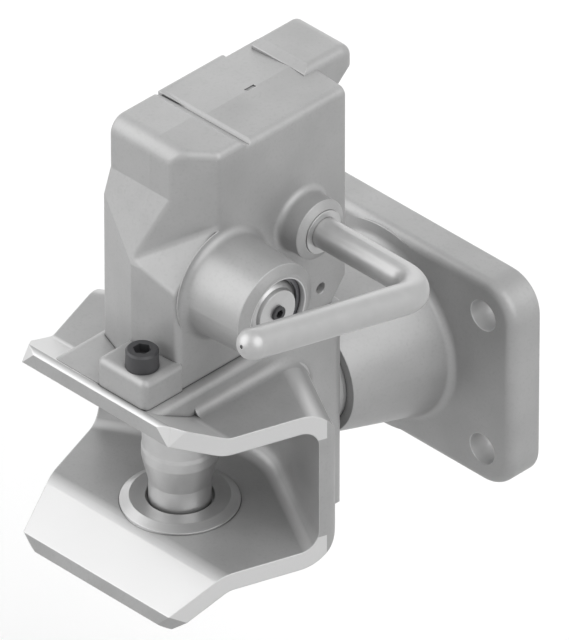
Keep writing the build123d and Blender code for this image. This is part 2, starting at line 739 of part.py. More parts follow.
def housing_side():
    """Side outline of the housing in Y and Z, at its middle."""
    r = CAP_FRONT_ROUND
    low = CORE_HALF_H - HULL_SPARE
    rear_y = HOUSING_REAR_Y + HULL_SPARE
    bow = r * (1.0 - math.sin(math.pi / 4.0))
    edges = [
        Polyline((rear_y, low), (NOSE_Y, low), (NOSE_Y, NOSE_TOP_Z),
                 (FRONT_Y, FACET_TOP_Z), (FRONT_Y, CAP_Z - r)),
        ThreePointArc((FRONT_Y, CAP_Z - r), (FRONT_Y + bow, CAP_Z - bow), (FRONT_Y + r, CAP_Z)),
        Polyline((FRONT_Y + r, CAP_Z), (CAP_REAR_Y, CAP_Z), (GROOVE_Y, GROOVE_Z),
                 (TOP_FRONT_Y, TOP_Z), (rear_y, TOP_Z), (rear_y, low)),
    ]
    return Plane.YZ * make_face(edges)


def housing_hull():
    """The housing's outer form before its bosses: two halves that fall off from a ridge."""
    side = housing_side()
    slant = Vector(1, RIDGE_SLOPE, -RIDGE_SLOPE)
    right = extrude(side, HOUSING_HALF_W * slant.length, dir=slant)
    left = mirror(right, about=Plane.YZ)
    rear = [
        (HOUSING_REAR_Y, BIG), (HOUSING_REAR_Y, REAR_FOOT_Z),
        (REAR_FOOT_Y, CORE_HALF_H), (-BIG, CORE_HALF_H), (-BIG, BIG),
    ]
    half = HOUSING_HALF_W
    room = extrude(Pos(-half, 0, 0) * (Plane.YZ * make_face(Polyline(*rear, close=True))), 2 * half)
    hull = (right + left) & room
    hull -= left_cut()
    hull -= corner_cut()
    hull = fillet(right_corner_edges(hull), HOUSING_ROUND)
    hull = fillet(left_edges(hull), LEFT_ROUND)
    return hull - top_edge_cut()


def right_corner_edges(hull):
    """The edges of the 45 degree corner, of the shoulder and of the right front side."""
    side = HOUSING_HALF_W
    found = []
    for edge in hull.edges():
        a, b = edge @ 0, edge @ 1
        forward = max(a.Y, b.Y) < CAP_REAR_Y + CAP_REACH
        on_side = min(a.X, b.X) > side - TINY
        corner = all(abs(p.X - p.Y - CORNER_CUT) < TINY for p in (a, b, edge @ 0.5))
        level = max(a.Z, b.Z) < CORE_HALF_H + TINY
        shoulder = all(on_shoulder(p) for p in (a, b, edge @ 0.5))
        if not level and (corner or shoulder or (on_side and forward)):
            found.append(edge)
    return found


def on_shoulder(point):
    return abs((point - Vector(*SHOULDER_POINT)).dot(Vector(*SHOULDER_NORMAL))) < TINY


def left_edges(hull):
    """The edges round the left side of the cap and of the front."""
    found = []
    for edge in hull.edges():
        a, b = edge @ 0, edge @ 1
        on_side = max(a.X, b.X) < -HOUSING_HALF_W + TINY
        forward = max(a.Y, b.Y) < CAP_REAR_Y + CAP_REACH
        if on_side and forward and max(a.Z, b.Z) > CORE_HALF_H + TINY:
            found.append(edge)
    return found


def top_edge_cut():
    """What rounds the long right edge of the rear top."""
    r = HOUSING_ROUND
    x = HOUSING_HALF_W - r
    z = TOP_Z - RIDGE_SLOPE * x - r * math.hypot(1.0, RIDGE_SLOPE)
    bar = block((x, BIG), (GROOVE_Y, BIG), (z, BIG))
    return bar - drum(r, GROOVE_Y - r, BIG, (x, 0, z))


def left_cut():
    """What the slanting left front face takes off in front of the nose."""
    x, y = NOSE_LEFT
    slope = (y - NOSE_Y) / -x
    far = 2.0 * x
    face = make_face(Polyline((0, NOSE_Y), (far, NOSE_Y - far * slope), (far, -BIG), (0, -BIG),
                              close=True))
    return extrude(Pos(0, 0, -OVERLAP) * face, BIG)


def corner_cut():
    """What the 45 degree corner takes off above the sloping shoulder."""
    half = BIG / 2.0
    slab = Location((CORNER_CUT / 2.0, -CORNER_CUT / 2.0, half), (0, 0, -45)) * (
        Pos(half, 0, 0) * Box(BIG, 2.0 * BIG, BIG))
    plane = Plane(origin=SHOULDER_POINT, z_dir=SHOULDER_NORMAL)
    return split(slab, bisect_by=plane, keep=Keep.TOP)


def hump():
    """The raised rear part of the top that reaches back over the neck."""
    rear = HOUSING_REAR_Y
    root_z = HUMP_Z - HUMP_ROOT_H
    start_y = rear - HUMP_START
    top = (rear + HUMP_REACH, HUMP_Z)
    tip = (rear + HUMP_REACH, HUMP_Z - HUMP_TIP_H)
    face = make_face(Polyline(
        (rear - HUMP_FOOT, root_z), (rear - HUMP_FOOT, TOP_Z), (start_y, HUMP_Z), top, tip,
        (rear + HUMP_UNDER_REACH, HUMP_Z - HUMP_UNDER_H), (rear, root_z), close=True))
    for (y, z), radius in ((top, HUMP_END_ROUND), (tip, HUMP_TIP_ROUND)):
        face = fillet(face.vertices().sort_by_distance((y, z, 0))[0], radius)
    body = extrude(Pos(HUMP_LEFT, 0, 0) * (Plane.YZ * face), HUMP_RIGHT - HUMP_LEFT)
    upper = [e for e in body.edges() if min((e @ 0).Z, (e @ 1).Z) > TOP_Z - HUMP_END_ROUND
             and (e @ 0.5).Y > start_y]
    right = [e for e in upper if (e @ 0.5).X > HUMP_RIGHT - TINY and e.length > HUMP_END_ROUND]
    left = [e for e in upper if (e @ 0.5).X < HUMP_LEFT + TINY and e.length > HUMP_END_ROUND]
    body = fillet(right, HUMP_RIGHT_ROUND)
    return fillet(edges_near(body, left), LEFT_ROUND)


def cheek():
    """The raised pad on the left side, beside the lifting fork."""
    top = TOP_Z - RIDGE_SLOPE * HOUSING_HALF_W
    pad = block((CHEEK_X, 0), CHEEK_Y, (CHEEK_LOW_Z, top))
    return fillet(pad.edges().group_by(Axis.X)[0], LEFT_ROUND)


def ridge_slot():
    width, length, depth = RIDGE_SLOT
    y = (RIDGE_SLOT_Y - length / 2.0, RIDGE_SLOT_Y + length / 2.0)
    return block((RIDGE_SLOT_X - width, RIDGE_SLOT_X), y, (TOP_Z - depth, BIG))


def skirted_boss(radius, skirt, at, tip):
    """A round boss on the right side, with a hollow round at its foot and a bevelled end."""
    wall = HOUSING_HALF_W
    root = wall - ROOT
    rim = radius + skirt + ROOT
    foot = (radius, wall)
    profile = [(0, root), (rim, root), (rim, wall), foot] + tip + [(0, tip[-1][1])]
    return turned_round(profile, [(foot, skirt)], at, ALONG_X)


def big_boss():
    tip = [(BOSS_END_R, BOSS_END - BOSS_BEVEL), (BOSS_RIM_R, BOSS_END)]
    return skirted_boss(BOSS_R, BOSS_FILLET, (0, BOSS_Y, BOSS_Z), tip)


def small_boss():
    tip = [(SMALL_BOSS_R, SMALL_BOSS_END - SMALL_BOSS_BEVEL), (SMALL_BOSS_RIM_R, SMALL_BOSS_END)]
    return skirted_boss(SMALL_BOSS_R, SMALL_BOSS_FILLET, (0, SHAFT_Y, SHAFT_Z), tip)


def foot():
    """The foot in front of the housing that the screw holds down."""
    box = block(FOOT_X, (FOOT_FRONT_Y, NOSE_Y + FOOT_ROOT), (CORE_HALF_H, FOOT_Z))
    middle_z = (FOOT_Z + CORE_HALF_H) / 2.0
    outer = [
        e for e in box.edges()
        if e.center().Y < NOSE_Y
        and (e.center().Z > FOOT_Z - TINY or abs(e.center().Z - middle_z) < TINY)
    ]
    return fillet(outer, FOOT_ROUND)


def chamber():
    """The room inside the housing for the pin, the fork and the trigger lever."""
    half = FORK_HALF_W + 2.0 * SIDE
    reach = ARM + TINE_END_R + CHAMBER_GAP
    room = drum(reach, -half, half, (0, SHAFT_Y, SHAFT_Z), ALONG_X)
    rear_y = SHAFT_Y + FORK_HUB_R + CHAMBER_REAR_GAP
    top = block((-half, half), (-BIG, rear_y), (CORE_HALF_H - OVERLAP, TOP_Z - CHAMBER_ROOF))
    at = (0, PIN_Y, 0)
    shank_top = PIN_SHANK_TOP + PIN_STROKE + PIN_SHANK_GAP
    head_top = PIN_TOP + PIN_STROKE + PIN_HEAD_GAP
    pin_room = drum(PIN_BORE_R, 0, shank_top, at, ALONG_Z)
    head_room = drum(PIN_HEAD_R + SIDE, 0, head_top, at, ALONG_Z)
    bush_room = drum(GUIDE_BUSH_R + SEAT, 0, GUIDE_BUSH_TOP, at, ALONG_Z)
    return [room & top, pin_room, head_room, bush_room]


def shaft_bores():
    """Bores for the lever shaft, its bushes, its spring and the plug at its left end."""
    at = (0, SHAFT_Y, SHAFT_Z)
    spring_end = HOUSING_HALF_W + SIDE
    return [
        drum(LEVER_BUSH_R + SEAT, -HOUSING_HALF_W + PLUG_T, BIG, at, ALONG_X),
        drum(SPRING_R + SPRING_WIRE_R + SIDE, 0, spring_end, at, ALONG_X),
        drum(PLUG_R + SEAT, -BIG, -HOUSING_HALF_W + PLUG_T, at, ALONG_X),
    ]


def boss_bores():
    """Bores for the plunger, its spring, the cover and the retaining ring."""
    at = (0, BOSS_Y, BOSS_Z)
    groove = ring_start()
    return [
        drum(PLUNGER_R + RUN, 0, BIG, at, ALONG_X),
        drum(PLUNGER_HEAD_R + SIDE, BOSS_BORE_START, BIG, at, ALONG_X),
        drum(BOSS_BORE_R, cover_back(), BIG, at, ALONG_X),
        drum(BOSS_BORE_R + RING_GROOVE_DEPTH, groove, groove + RING_GROOVE_T, at, ALONG_X),
    ]


def cover_back():
    """X of the inner face of the boss cover."""
    return COVER_FACE - COVER_T


def ring_start():
    """X where the groove of the retaining ring starts, just outside the cover's rim."""
    return cover_back() + COVER_T - COVER_STEP_T


def make_housing():
    body = housing_hull() + hump() + cheek() + big_boss() + small_boss() + foot()
    body -= ridge_slot()
    body -= chamber()
    body -= shaft_bores()
    body -= boss_bores()
    body -= dowels(SEAT)
    body -= drum(SCREW_R + SIDE, 0, BIG, (SCREW_X, SCREW_Y, 0), ALONG_Z)
    pivot = (0, TRIGGER_Y, TRIGGER_Z)
    body -= drum(TRIGGER_PIN_R + SEAT, -TRIGGER_PIN_HALF, TRIGGER_PIN_HALF, pivot, ALONG_X)
    body -= drum(VENT_R, HOUSING_HALF_W - VENT_DEPTH, BIG, (0, VENT_Y, VENT_Z), ALONG_X)
    return body


def make_housing_screw():
    at = (SCREW_X, SCREW_Y, 0)
    top = FOOT_Z + SCREW_HEAD_H
    low = FOOT_Z - SCREW_LENGTH
    body = turned([
        (0, low), (SCREW_R - SCREW_TIP_BEVEL, low), (SCREW_R, low + SCREW_TIP_BEVEL),
        (SCREW_R, FOOT_Z), (SCREW_HEAD_R, FOOT_Z), (SCREW_HEAD_R, top - SCREW_HEAD_BEVEL),
        (SCREW_HEAD_R - SCREW_HEAD_BEVEL, top), (0, top),
    ], at, ALONG_Z)
    return body - hexagon(SCREW_HEX, top - SCREW_HEAD_H / 2.0, top + OVERLAP, at, ALONG_Z)


def make_locating_dowels():
    return Compound(children=dowels(0.0))


# Lever shaft group


def make_hand_lever():
    """One bent rod: the shaft across the housing, the bend and the leg with a round end."""
    rise = math.radians(LEVER_RISE)
    leg = Vector(0, -math.cos(rise), math.sin(rise))
    corner = Vector(LEVER_X, SHAFT_Y, SHAFT_Z)
    tip = corner + leg * (LEVER_LEG - ROD_R)
    start = Vector(-HOUSING_HALF_W + PLUG_T + SHAFT_END_GAP, SHAFT_Y, SHAFT_Z)
    path = FilletPolyline(start, corner, tip, radius=LEVER_BEND_R)
    section = Plane(origin=start, z_dir=(1, 0, 0)) * Circle(ROD_R)
    rod = sweep(section, path=path)
    rod += Pos(*tip) * Sphere(ROD_R)
    floor = tip + leg * (ROD_R - LEVER_DIMPLE_DEPTH)
    dimple = Plane(origin=floor, z_dir=leg) * Circle(LEVER_DIMPLE_R)
    rod -= extrude(dimple, ROD_R)
    return rod - cross_pin(SEAT)


def cross_pin(extra):
    """The pin that fixes the fork on the shaft, made larger for its hole."""
    half = FORK_HUB_R - CROSS_PIN_SUNK
    turn = (math.degrees(FORK_TURN / 2.0), 0, 0)
    return drum(CROSS_PIN_R + extra, -half, half, (0, SHAFT_Y, SHAFT_Z), turn)


def make_fork_pin():
    return cross_pin(0.0)


def tine_side():
    """Side outline of one tine: a bar from the hub to its round end, along -Y."""
    h = TINE_HALF_H
    bar = Pos(-ARM / 2.0, 0) * Rectangle(ARM, 2.0 * h)
    return bar + Pos(-ARM, 0) * Circle(TINE_END_R) + Circle(FORK_HUB_R)


def make_lift_fork():
    """The fork on the lever shaft whose two tines lift the coupling pin by its groove."""
    half = FORK_HALF_W
    tine = extrude(Pos(half - TINE_T, 0, 0) * (Plane.YZ * tine_side()), TINE_T)
    fork = mirrored(tine, Plane.YZ) + drum(FORK_HUB_R, -half, half, turn=ALONG_X)
    fork -= drum(ROD_R + SEAT, -BIG, BIG, turn=ALONG_X)
    turn = (math.degrees(FORK_TURN / 2.0), 0, 0)
    placed = Location((0, SHAFT_Y, SHAFT_Z), turn) * fork
    return placed - cross_pin(SEAT)


def make_lever_bush(low, high):
    at = (0, SHAFT_Y, SHAFT_Z)
    return drum(LEVER_BUSH_R, low, high, at, ALONG_X) - drum(ROD_R + RUN, low, high, at, ALONG_X)


def make_outer_lever_bush():
    return make_lever_bush(HOUSING_HALF_W + SIDE, SMALL_BOSS_END + LEVER_BUSH_PROUD)


def make_inner_lever_bush():
    return make_lever_bush(-HOUSING_HALF_W + PLUG_T, -FORK_HALF_W - 2.0 * SIDE)


def make_shaft_plug():
    at = (0, SHAFT_Y, SHAFT_Z)
    outer = -HOUSING_HALF_W
    return turned([(0, outer + PLUG_T), (PLUG_R, outer + PLUG_T), (PLUG_R, outer + PLUG_BEVEL),
                   (PLUG_R - PLUG_BEVEL, outer), (0, outer)], at, ALONG_X)


def make_closing_spring():
    start = FORK_HALF_W + 2.0 * SIDE + SPRING_WIRE_R + SEAT
    end = HOUSING_HALF_W + SIDE - SPRING_WIRE_R - SPRING_END_GAP
    pitch = (end - start) / SPRING_TURNS
    return coil(SPRING_R, SPRING_WIRE_R, pitch, SPRING_TURNS, (start, SHAFT_Y, SHAFT_Z), ALONG_X)


# Trigger lever group


def make_trigger_lever():
    """The pawl lever that the drawbar eye pushes back, which lets the raised pin drop."""
    nose = Pos(*TRIGGER_NOSE) * Circle(TRIGGER_NOSE_R)
    pivot = Pos(TRIGGER_Y, TRIGGER_Z) * Circle(TRIGGER_BOSS_R)
    pawl = Pos(*TRIGGER_PAWL) * Circle(TRIGGER_PAWL_R)
    web = Pos(TRIGGER_Y, TRIGGER_Z) * Circle(TRIGGER_WEB_R)
    lower = make_hull(nose.edges() + web.edges())
    upper = make_hull(pawl.edges() + web.edges())
    face = lower + upper + pivot
    plate = extrude(Pos(-TRIGGER_T / 2.0, 0, 0) * (Plane.YZ * face), TRIGGER_T)
    at = (0, TRIGGER_Y, TRIGGER_Z)
    return plate - drum(TRIGGER_PIN_R + RUN, -BIG, BIG, at, ALONG_X)


def make_trigger_pivot():
    at = (0, TRIGGER_Y, TRIGGER_Z)
    return drum(TRIGGER_PIN_R, -TRIGGER_PIN_HALF + SIDE, TRIGGER_PIN_HALF - SIDE, at, ALONG_X)


def make_trigger_spring():
    x = TRIGGER_T / 2.0 + TRIGGER_WIRE_R + TRIGGER_SPRING_GAP
    at = (x, TRIGGER_Y, TRIGGER_Z)
    return coil(TRIGGER_SPRING_R, TRIGGER_WIRE_R, TRIGGER_SPRING_PITCH, TRIGGER_SPRING_TURNS, at,
                ALONG_X)


# Pieces in the big boss


def plunger_tip():
    """X of the plunger's tip at rest, just outside the bore of the coupling pin."""
    return PIN_BORE_R + PLUNGER_GAP


def plunger_back():
    """X of the plunger's rear end at rest."""
    return BOSS_BORE_START + PLUNGER_HEAD_T + SIDE


def make_holding_plunger():
    tip = plunger_tip()
    head = BOSS_BORE_START + SIDE
    bevel = PLUNGER_TIP_BEVEL
    return turned([
        (0, tip), (PLUNGER_R - bevel, tip), (PLUNGER_R, tip + bevel), (PLUNGER_R, head),
        (PLUNGER_HEAD_R, head), (PLUNGER_HEAD_R, plunger_back()), (0, plunger_back()),
    ], (0, BOSS_Y, BOSS_Z), ALONG_X)


def make_plunger_spring():
    plunger_gap, cover_gap = PLUNGER_SPRING_GAPS
    start = plunger_back() + PLUNGER_STROKE + PLUNGER_WIRE_R + plunger_gap
    end = cover_back() - PLUNGER_WIRE_R - cover_gap
    pitch = (end - start) / PLUNGER_SPRING_TURNS
    return coil(PLUNGER_SPRING_R, PLUNGER_WIRE_R, pitch, PLUNGER_SPRING_TURNS,
                (start, BOSS_Y, BOSS_Z), ALONG_X)


def make_boss_cover():
    """The stepped cover in the boss: a rim under the retaining ring and a raised middle."""
    back = cover_back()
    rim = ring_start()
    edge_r, depth = COVER_EDGE
    return turned([
        (COVER_SCREW_R, back), (BOSS_BORE_R - SEAT, back), (BOSS_BORE_R - SEAT, rim),
        (COVER_CONE_R, rim), (edge_r, COVER_FACE - depth), (COVER_R, COVER_FACE),
        (COVER_SCREW_R, COVER_FACE),
    ], (0, BOSS_Y, BOSS_Z), ALONG_X)


def make_retaining_ring():
    """An internal ring with a gap, sprung into the boss's groove."""
    start = ring_start() + SEAT
    outer = BOSS_BORE_R + RING_GROOVE_DEPTH - SEAT
    at = (0, BOSS_Y, BOSS_Z)
    ring = drum(outer, start, start + RING_T, at, ALONG_X)
    ring -= drum(RING_INNER_R, -BIG, BIG, at, ALONG_X)
    gap = block((0, BIG), (-RING_GAP_W / 2.0, RING_GAP_W / 2.0), (0, BIG))
    return ring - Location(at, (RING_GAP_TURN, 0, 0)) * gap


def make_cover_screw():
    at = (0, BOSS_Y, BOSS_Z)
    end = COVER_FACE + COVER_SCREW_HEAD_H
    body = drum(COVER_SCREW_R - SEAT, cover_back() + SIDE, COVER_FACE, at, ALONG_X)
    body += drum(COVER_SCREW_HEAD_R, COVER_FACE, end, at, ALONG_X)
    return body - hexagon(COVER_SCREW_HEX, COVER_FACE - COVER_SCREW_HEAD_H, BIG, at, ALONG_X)


PIECES = {
    "bearing_flange": make_bearing_flange,
    "front_bearing_bush": make_front_bearing_bush,
    "rear_bearing_bush": make_rear_bearing_bush,
    "grease_nipple": make_grease_nipple,
    "disc_spring": make_disc_spring,
    "rear_washer": make_rear_washer,
    "castle_nut": make_castle_nut,
    "split_pin": make_split_pin,
    "jaw": make_jaw,
    "lower_wear_ring": make_lower_wear_ring,
    "upper_guide_bush": make_upper_guide_bush,
    "coupling_pin": make_coupling_pin,
    "housing": make_housing,
    "housing_screw": make_housing_screw,
    "locating_dowels": make_locating_dowels,
    "hand_lever": make_hand_lever,
    "fork_pin": make_fork_pin,
    "lift_fork": make_lift_fork,
    "outer_lever_bush": make_outer_lever_bush,
    "inner_lever_bush": make_inner_lever_bush,
    "shaft_plug": make_shaft_plug,
    "closing_spring": make_closing_spring,
    "trigger_lever": make_trigger_lever,
    "trigger_pivot": make_trigger_pivot,
    "trigger_spring": make_trigger_spring,
    "holding_plunger": make_holding_plunger,
    "plunger_spring": make_plunger_spring,
    "boss_cover": make_boss_cover,
    "retaining_ring": make_retaining_ring,
    "cover_screw": make_cover_screw,
}


def main():
    os.makedirs("parts", exist_ok=True)
    for name, make in PIECES.items():
        export_step(make(), f"parts/{name}.step")


main()
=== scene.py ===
import math

import bpy
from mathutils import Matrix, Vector


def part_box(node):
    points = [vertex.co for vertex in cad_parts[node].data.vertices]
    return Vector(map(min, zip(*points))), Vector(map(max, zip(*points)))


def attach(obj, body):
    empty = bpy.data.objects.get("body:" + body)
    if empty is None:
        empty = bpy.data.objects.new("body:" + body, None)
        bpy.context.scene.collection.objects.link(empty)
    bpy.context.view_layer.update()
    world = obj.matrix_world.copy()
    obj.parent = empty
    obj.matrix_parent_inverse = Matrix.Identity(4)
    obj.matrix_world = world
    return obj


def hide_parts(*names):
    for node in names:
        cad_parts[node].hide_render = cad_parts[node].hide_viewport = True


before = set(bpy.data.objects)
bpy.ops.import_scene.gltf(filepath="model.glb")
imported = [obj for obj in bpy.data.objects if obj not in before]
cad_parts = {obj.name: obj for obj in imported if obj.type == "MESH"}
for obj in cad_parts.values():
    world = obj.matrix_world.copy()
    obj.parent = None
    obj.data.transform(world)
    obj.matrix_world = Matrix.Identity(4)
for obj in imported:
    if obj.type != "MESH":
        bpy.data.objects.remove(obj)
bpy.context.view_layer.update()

bl_info = {
    "name": "Tractor Tow Hitch",
    "version": (1, 0, 0),
    "blender": (4, 5, 0),
    "location": "3D View > Sidebar > Tow Hitch",
    "description": "Finishes the castings, steel and screws of a tow hitch and lights it",
    "category": "Object",
}

MM = 0.001

# Castings: sizes of the primer's patches, the blasted grain, the wear and painted highlight on
# edges, and the painted shade in corners and creases
PRIMER_CLOUD = 28.0 * MM
CAST_GRAIN = 1.6 * MM
CAST_PIT = 0.7 * MM
CAST_RELIEF = 0.07 * MM  # depth of the grain
CAST_EDGE = 0.9 * MM  # width of the worn edges, which also carry a painted highlight
CAST_SHADE_REACH = 3.0 * MM  # how far the painted shade reaches out of a corner
CREASE_SHADE_REACH = 0.7 * MM  # how wide the painted shade in a crease or gap is
PIT_SHARE = 0.3  # of the grain's height
PLANED_AWAY = 0.85  # share of the grain that a machined face has lost

# Castings: shades of their tone, the shares in which they are laid on, and the gloss
CAST_PATCHES = (0.95, 1.05)
CAST_SPECK = 0.8
CAST_SPECK_SHARE = 0.35
# lighter edges: wear and a painted highlight
CAST_WORN_HIGHLIGHT = 1.7
CAST_WORN_HIGHLIGHT_SHARE = 0.55
# darker corners and creases: painted shade
CAST_PAINTED_SHADE = 0.3
CAST_CREASE_SHADE = 0.08
CAST_ROUGH = 0.4
CAST_METALLIC = 0.35
WORN_SMOOTH = 0.06  # what a worn edge takes off the roughness
PLANED_SMOOTH = 0.08  # what a machined face takes off it
PLANED_METALLIC = 0.1  # what a machined face adds

# Turned steel: sizes, shades and gloss
TURNING_MARK = 0.35 * MM
TURNED_CLOUD = 9.0 * MM
TURNED_RELIEF = 0.012 * MM
TURNED_EDGE = 0.35 * MM
TURNED_MARKS = (0.93, 1.06)
TURNED_STAIN = 0.86
TURNED_STAIN_SHARE = 0.5
# lighter edges: wear and a painted highlight
TURNED_WORN_HIGHLIGHT = 1.4
TURNED_WORN_HIGHLIGHT_SHARE = 0.6
# darker corners: painted shade
TURNED_PAINTED_SHADE = 0.25
TURNED_ROUGH = 0.3
TURNED_METALLIC = 0.7
MARKS_ROUGH = 0.06  # what the marks add to the roughness

# Drawn, forged and plated steel: sizes, shades and gloss
PLATED_CLOUD = 6.0 * MM
PLATED_GRAIN = 0.6 * MM
PLATED_RELIEF = 0.015 * MM
PLATED_EDGE = 0.4 * MM
PLATED_PATCHES = (0.93, 1.07)
# lighter edges: wear and a painted highlight
PLATED_WORN_HIGHLIGHT = 1.5
PLATED_WORN_HIGHLIGHT_SHARE = 0.5
# darker corners: painted shade
PLATED_PAINTED_SHADE = 0.3
PLATED_ROUGH = 0.34
PLATED_METALLIC = 0.6
PLATED_CLOUD_ROUGH = 0.12  # what the cloud adds to the roughness
OILED_SHADE = 2.0  # oiled forgings are paler than the springs
OILED_ROUGH = 0.4
SPRING_ROUGH = 0.3
OXIDE_ROUGH = 0.42
OXIDE_METALLIC = 0.3
CAP_SCREW_ROUGH = 0.4

# All finishes
STEEL_IOR = 1.5
STEEL_SHADE_REACH = 2.0 * MM  # how far the painted shade reaches out of a corner
CLOUD_ROUGH = 0.08  # what the cloud adds to a casting's or a turned piece's roughness
EDGE_SAMPLES = 6
AIR_SAMPLES = 8

# Where a noise or a mask starts to show, and where it is full
PATCH_RANGE = (0.35, 0.65)
SPECK_RANGE = (0.52, 0.75)
STAIN_RANGE = (0.45, 0.75)
# ranges of the painted shade in corners and creases
CAST_SHADE_RANGE = (0.2, 0.85)
CREASE_SHADE_RANGE = (0.45, 0.85)
STEEL_SHADE_RANGE = (0.1, 0.7)
WEAR_HIGHLIGHT_RANGE = (0.01, 0.16)  # 1 less the cosine of an edge's turn

# Machined faces of the castings, with normals that count for both sides and both ends. On the
# jaw, the faces picked by the way they look are pale partly as bare metal and partly as a painted
# highlight
MASK_EDGE = 0.05 * MM  # how softly a machined face ends
PLATE_SIDE = (0.948, 0.316, 0.0)
LIP_SLOPE = (0.0, 0.477, 0.879)
LIP_HIGHLIGHT_SPREAD = 23.0  # degrees from the slope at which its pale colour, partly a painted highlight over the rounds, has faded out
LIP_CORE = 5.0  # degrees within which it is full
UPPER_FACETS = ((0.374, 0.855, 0.361), (0.821, 0.484, 0.304))
FACED_RING = 0.5 * MM  # width of the faced ring round the outer lever bush
FACED_DEPTH = 1.0 * MM  # how far behind the bush's end that ring still counts
RING_IN_GROOVE = 1.0 * MM  # how far the retaining ring reaches into the wall of its bore

# Modelled pieces
STRAIGHT = 0.9  # a face whose normal has this much of an axis looks along it
ROUND_SIDES = 96
HEXAGON = 6
THREAD_DEPTH = 0.61  # share of the pitch
DRILL_POINT = 1.0 / 6.0  # height of the socket's pointed bottom, as a share of its width
SCREW_CREASE = 25.0  # degrees from which an edge stays sharp
PIN_CREASE = 40.0
PIN_ROUNDNESS = 5
LEG_TIP = (40.0, 28.0, 16.0)  # degrees round the crown of the nut
LEG_BEND = ((0.0, 2.5), (-1.0, 0.4))  # outwards from the crown and up, in radii of the wire
LEG_RUN = (0.85, 0.3, -0.3, -0.85)  # along the hole, in radii of the crown
EYE_WIDEST = 3.0  # where the eye is widest, beyond the crown, in radii of the wire
EYE_END = 4.4  # where it ends, counted likewise

# Stage
LAMPS = (  # name, where the light comes from, and how wide it looks in degrees
    ("left", (-0.58, -0.65, 0.49), 68.0),
    ("right", (0.75, 0.07, 0.65), 65.0),
    ("back", (-0.6, 0.6, 0.05), 60.0),
)
FLOOR_RADIUS = 40.0
FLOOR_SIDES = 64
FLOOR_CLOUD = 0.4
FLOOR_ROUGH = 0.9
FLOOR_CLOUD_ROUGH = 0.05
FLOOR_IOR = 1.3
SENSOR_HEIGHT = 36.0  # millimetres, as the lens is
FARTHEST = 4.0  # how far the camera sees, in distances from the hitch


# Shader arithmetic


class Wire:
    """One output of a shader node. Arithmetic on it adds Math nodes."""

    def __init__(self, nodes, socket):
        self.nodes = nodes
        self.socket = socket

    def maths(self, operation, first, second):
        """A Math node on two wires or numbers."""
        return self.nodes.node("ShaderNodeMath", {"operation": operation}, {0: first, 1: second})

    def __add__(self, other):
        return self.maths("ADD", self, other)

    def __sub__(self, other):
        return self.maths("SUBTRACT", self, other)

    def __mul__(self, other):
        return self.maths("MULTIPLY", self, other)

    def __pow__(self, other):
        return self.maths("POWER", self, other)

    def __radd__(self, other):
        return self.maths("ADD", other, self)

    def __rsub__(self, other):
        return self.maths("SUBTRACT", other, self)

    def __rmul__(self, other):
        return self.maths("MULTIPLY", other, self)

    def ramp(self, low, high):
        """0 where the value is at low or below, 1 where it is at high or above."""
        inputs = {"Value": self, "From Min": low, "From Max": high}
        return self.nodes.node("ShaderNodeMapRange", {"clamp": True}, inputs)

    def or_else(self, other):
        """The larger of two masks."""
        return self.maths("MAXIMUM", self, other)


class Nodes:
    """The nodes of a material or a world, round the shader that it comes with."""

    def __init__(self, owner, shader):
        owner.use_nodes = True
        self.owner = owner
        self.tree = owner.node_tree
        self.shader = self.tree.nodes[shader]

    def node(self, kind, settings=None, inputs=None, output=0):
        """Adds a node, sets it up, then sets or links its sockets, and gives one output."""
        made = self.tree.nodes.new(kind)
        for name, value in (settings or {}).items():
            setattr(made, name, value)
        for key, value in (inputs or {}).items():
            self.feed(made.inputs[key], value)
        return Wire(self, made.outputs[output])

    def feed(self, socket, value):
        """Links a wire to a socket, or sets the socket to a value."""
        if isinstance(value, Wire):
            self.tree.links.new(value.socket, socket)
        else:
            socket.default_value = value

    def set(self, **sockets):
        """Feeds sockets of the shader, and gives the material or the world."""
        for name, value in sockets.items():
            self.feed(self.shader.inputs[name.replace("_", " ")], value)
        return self.owner


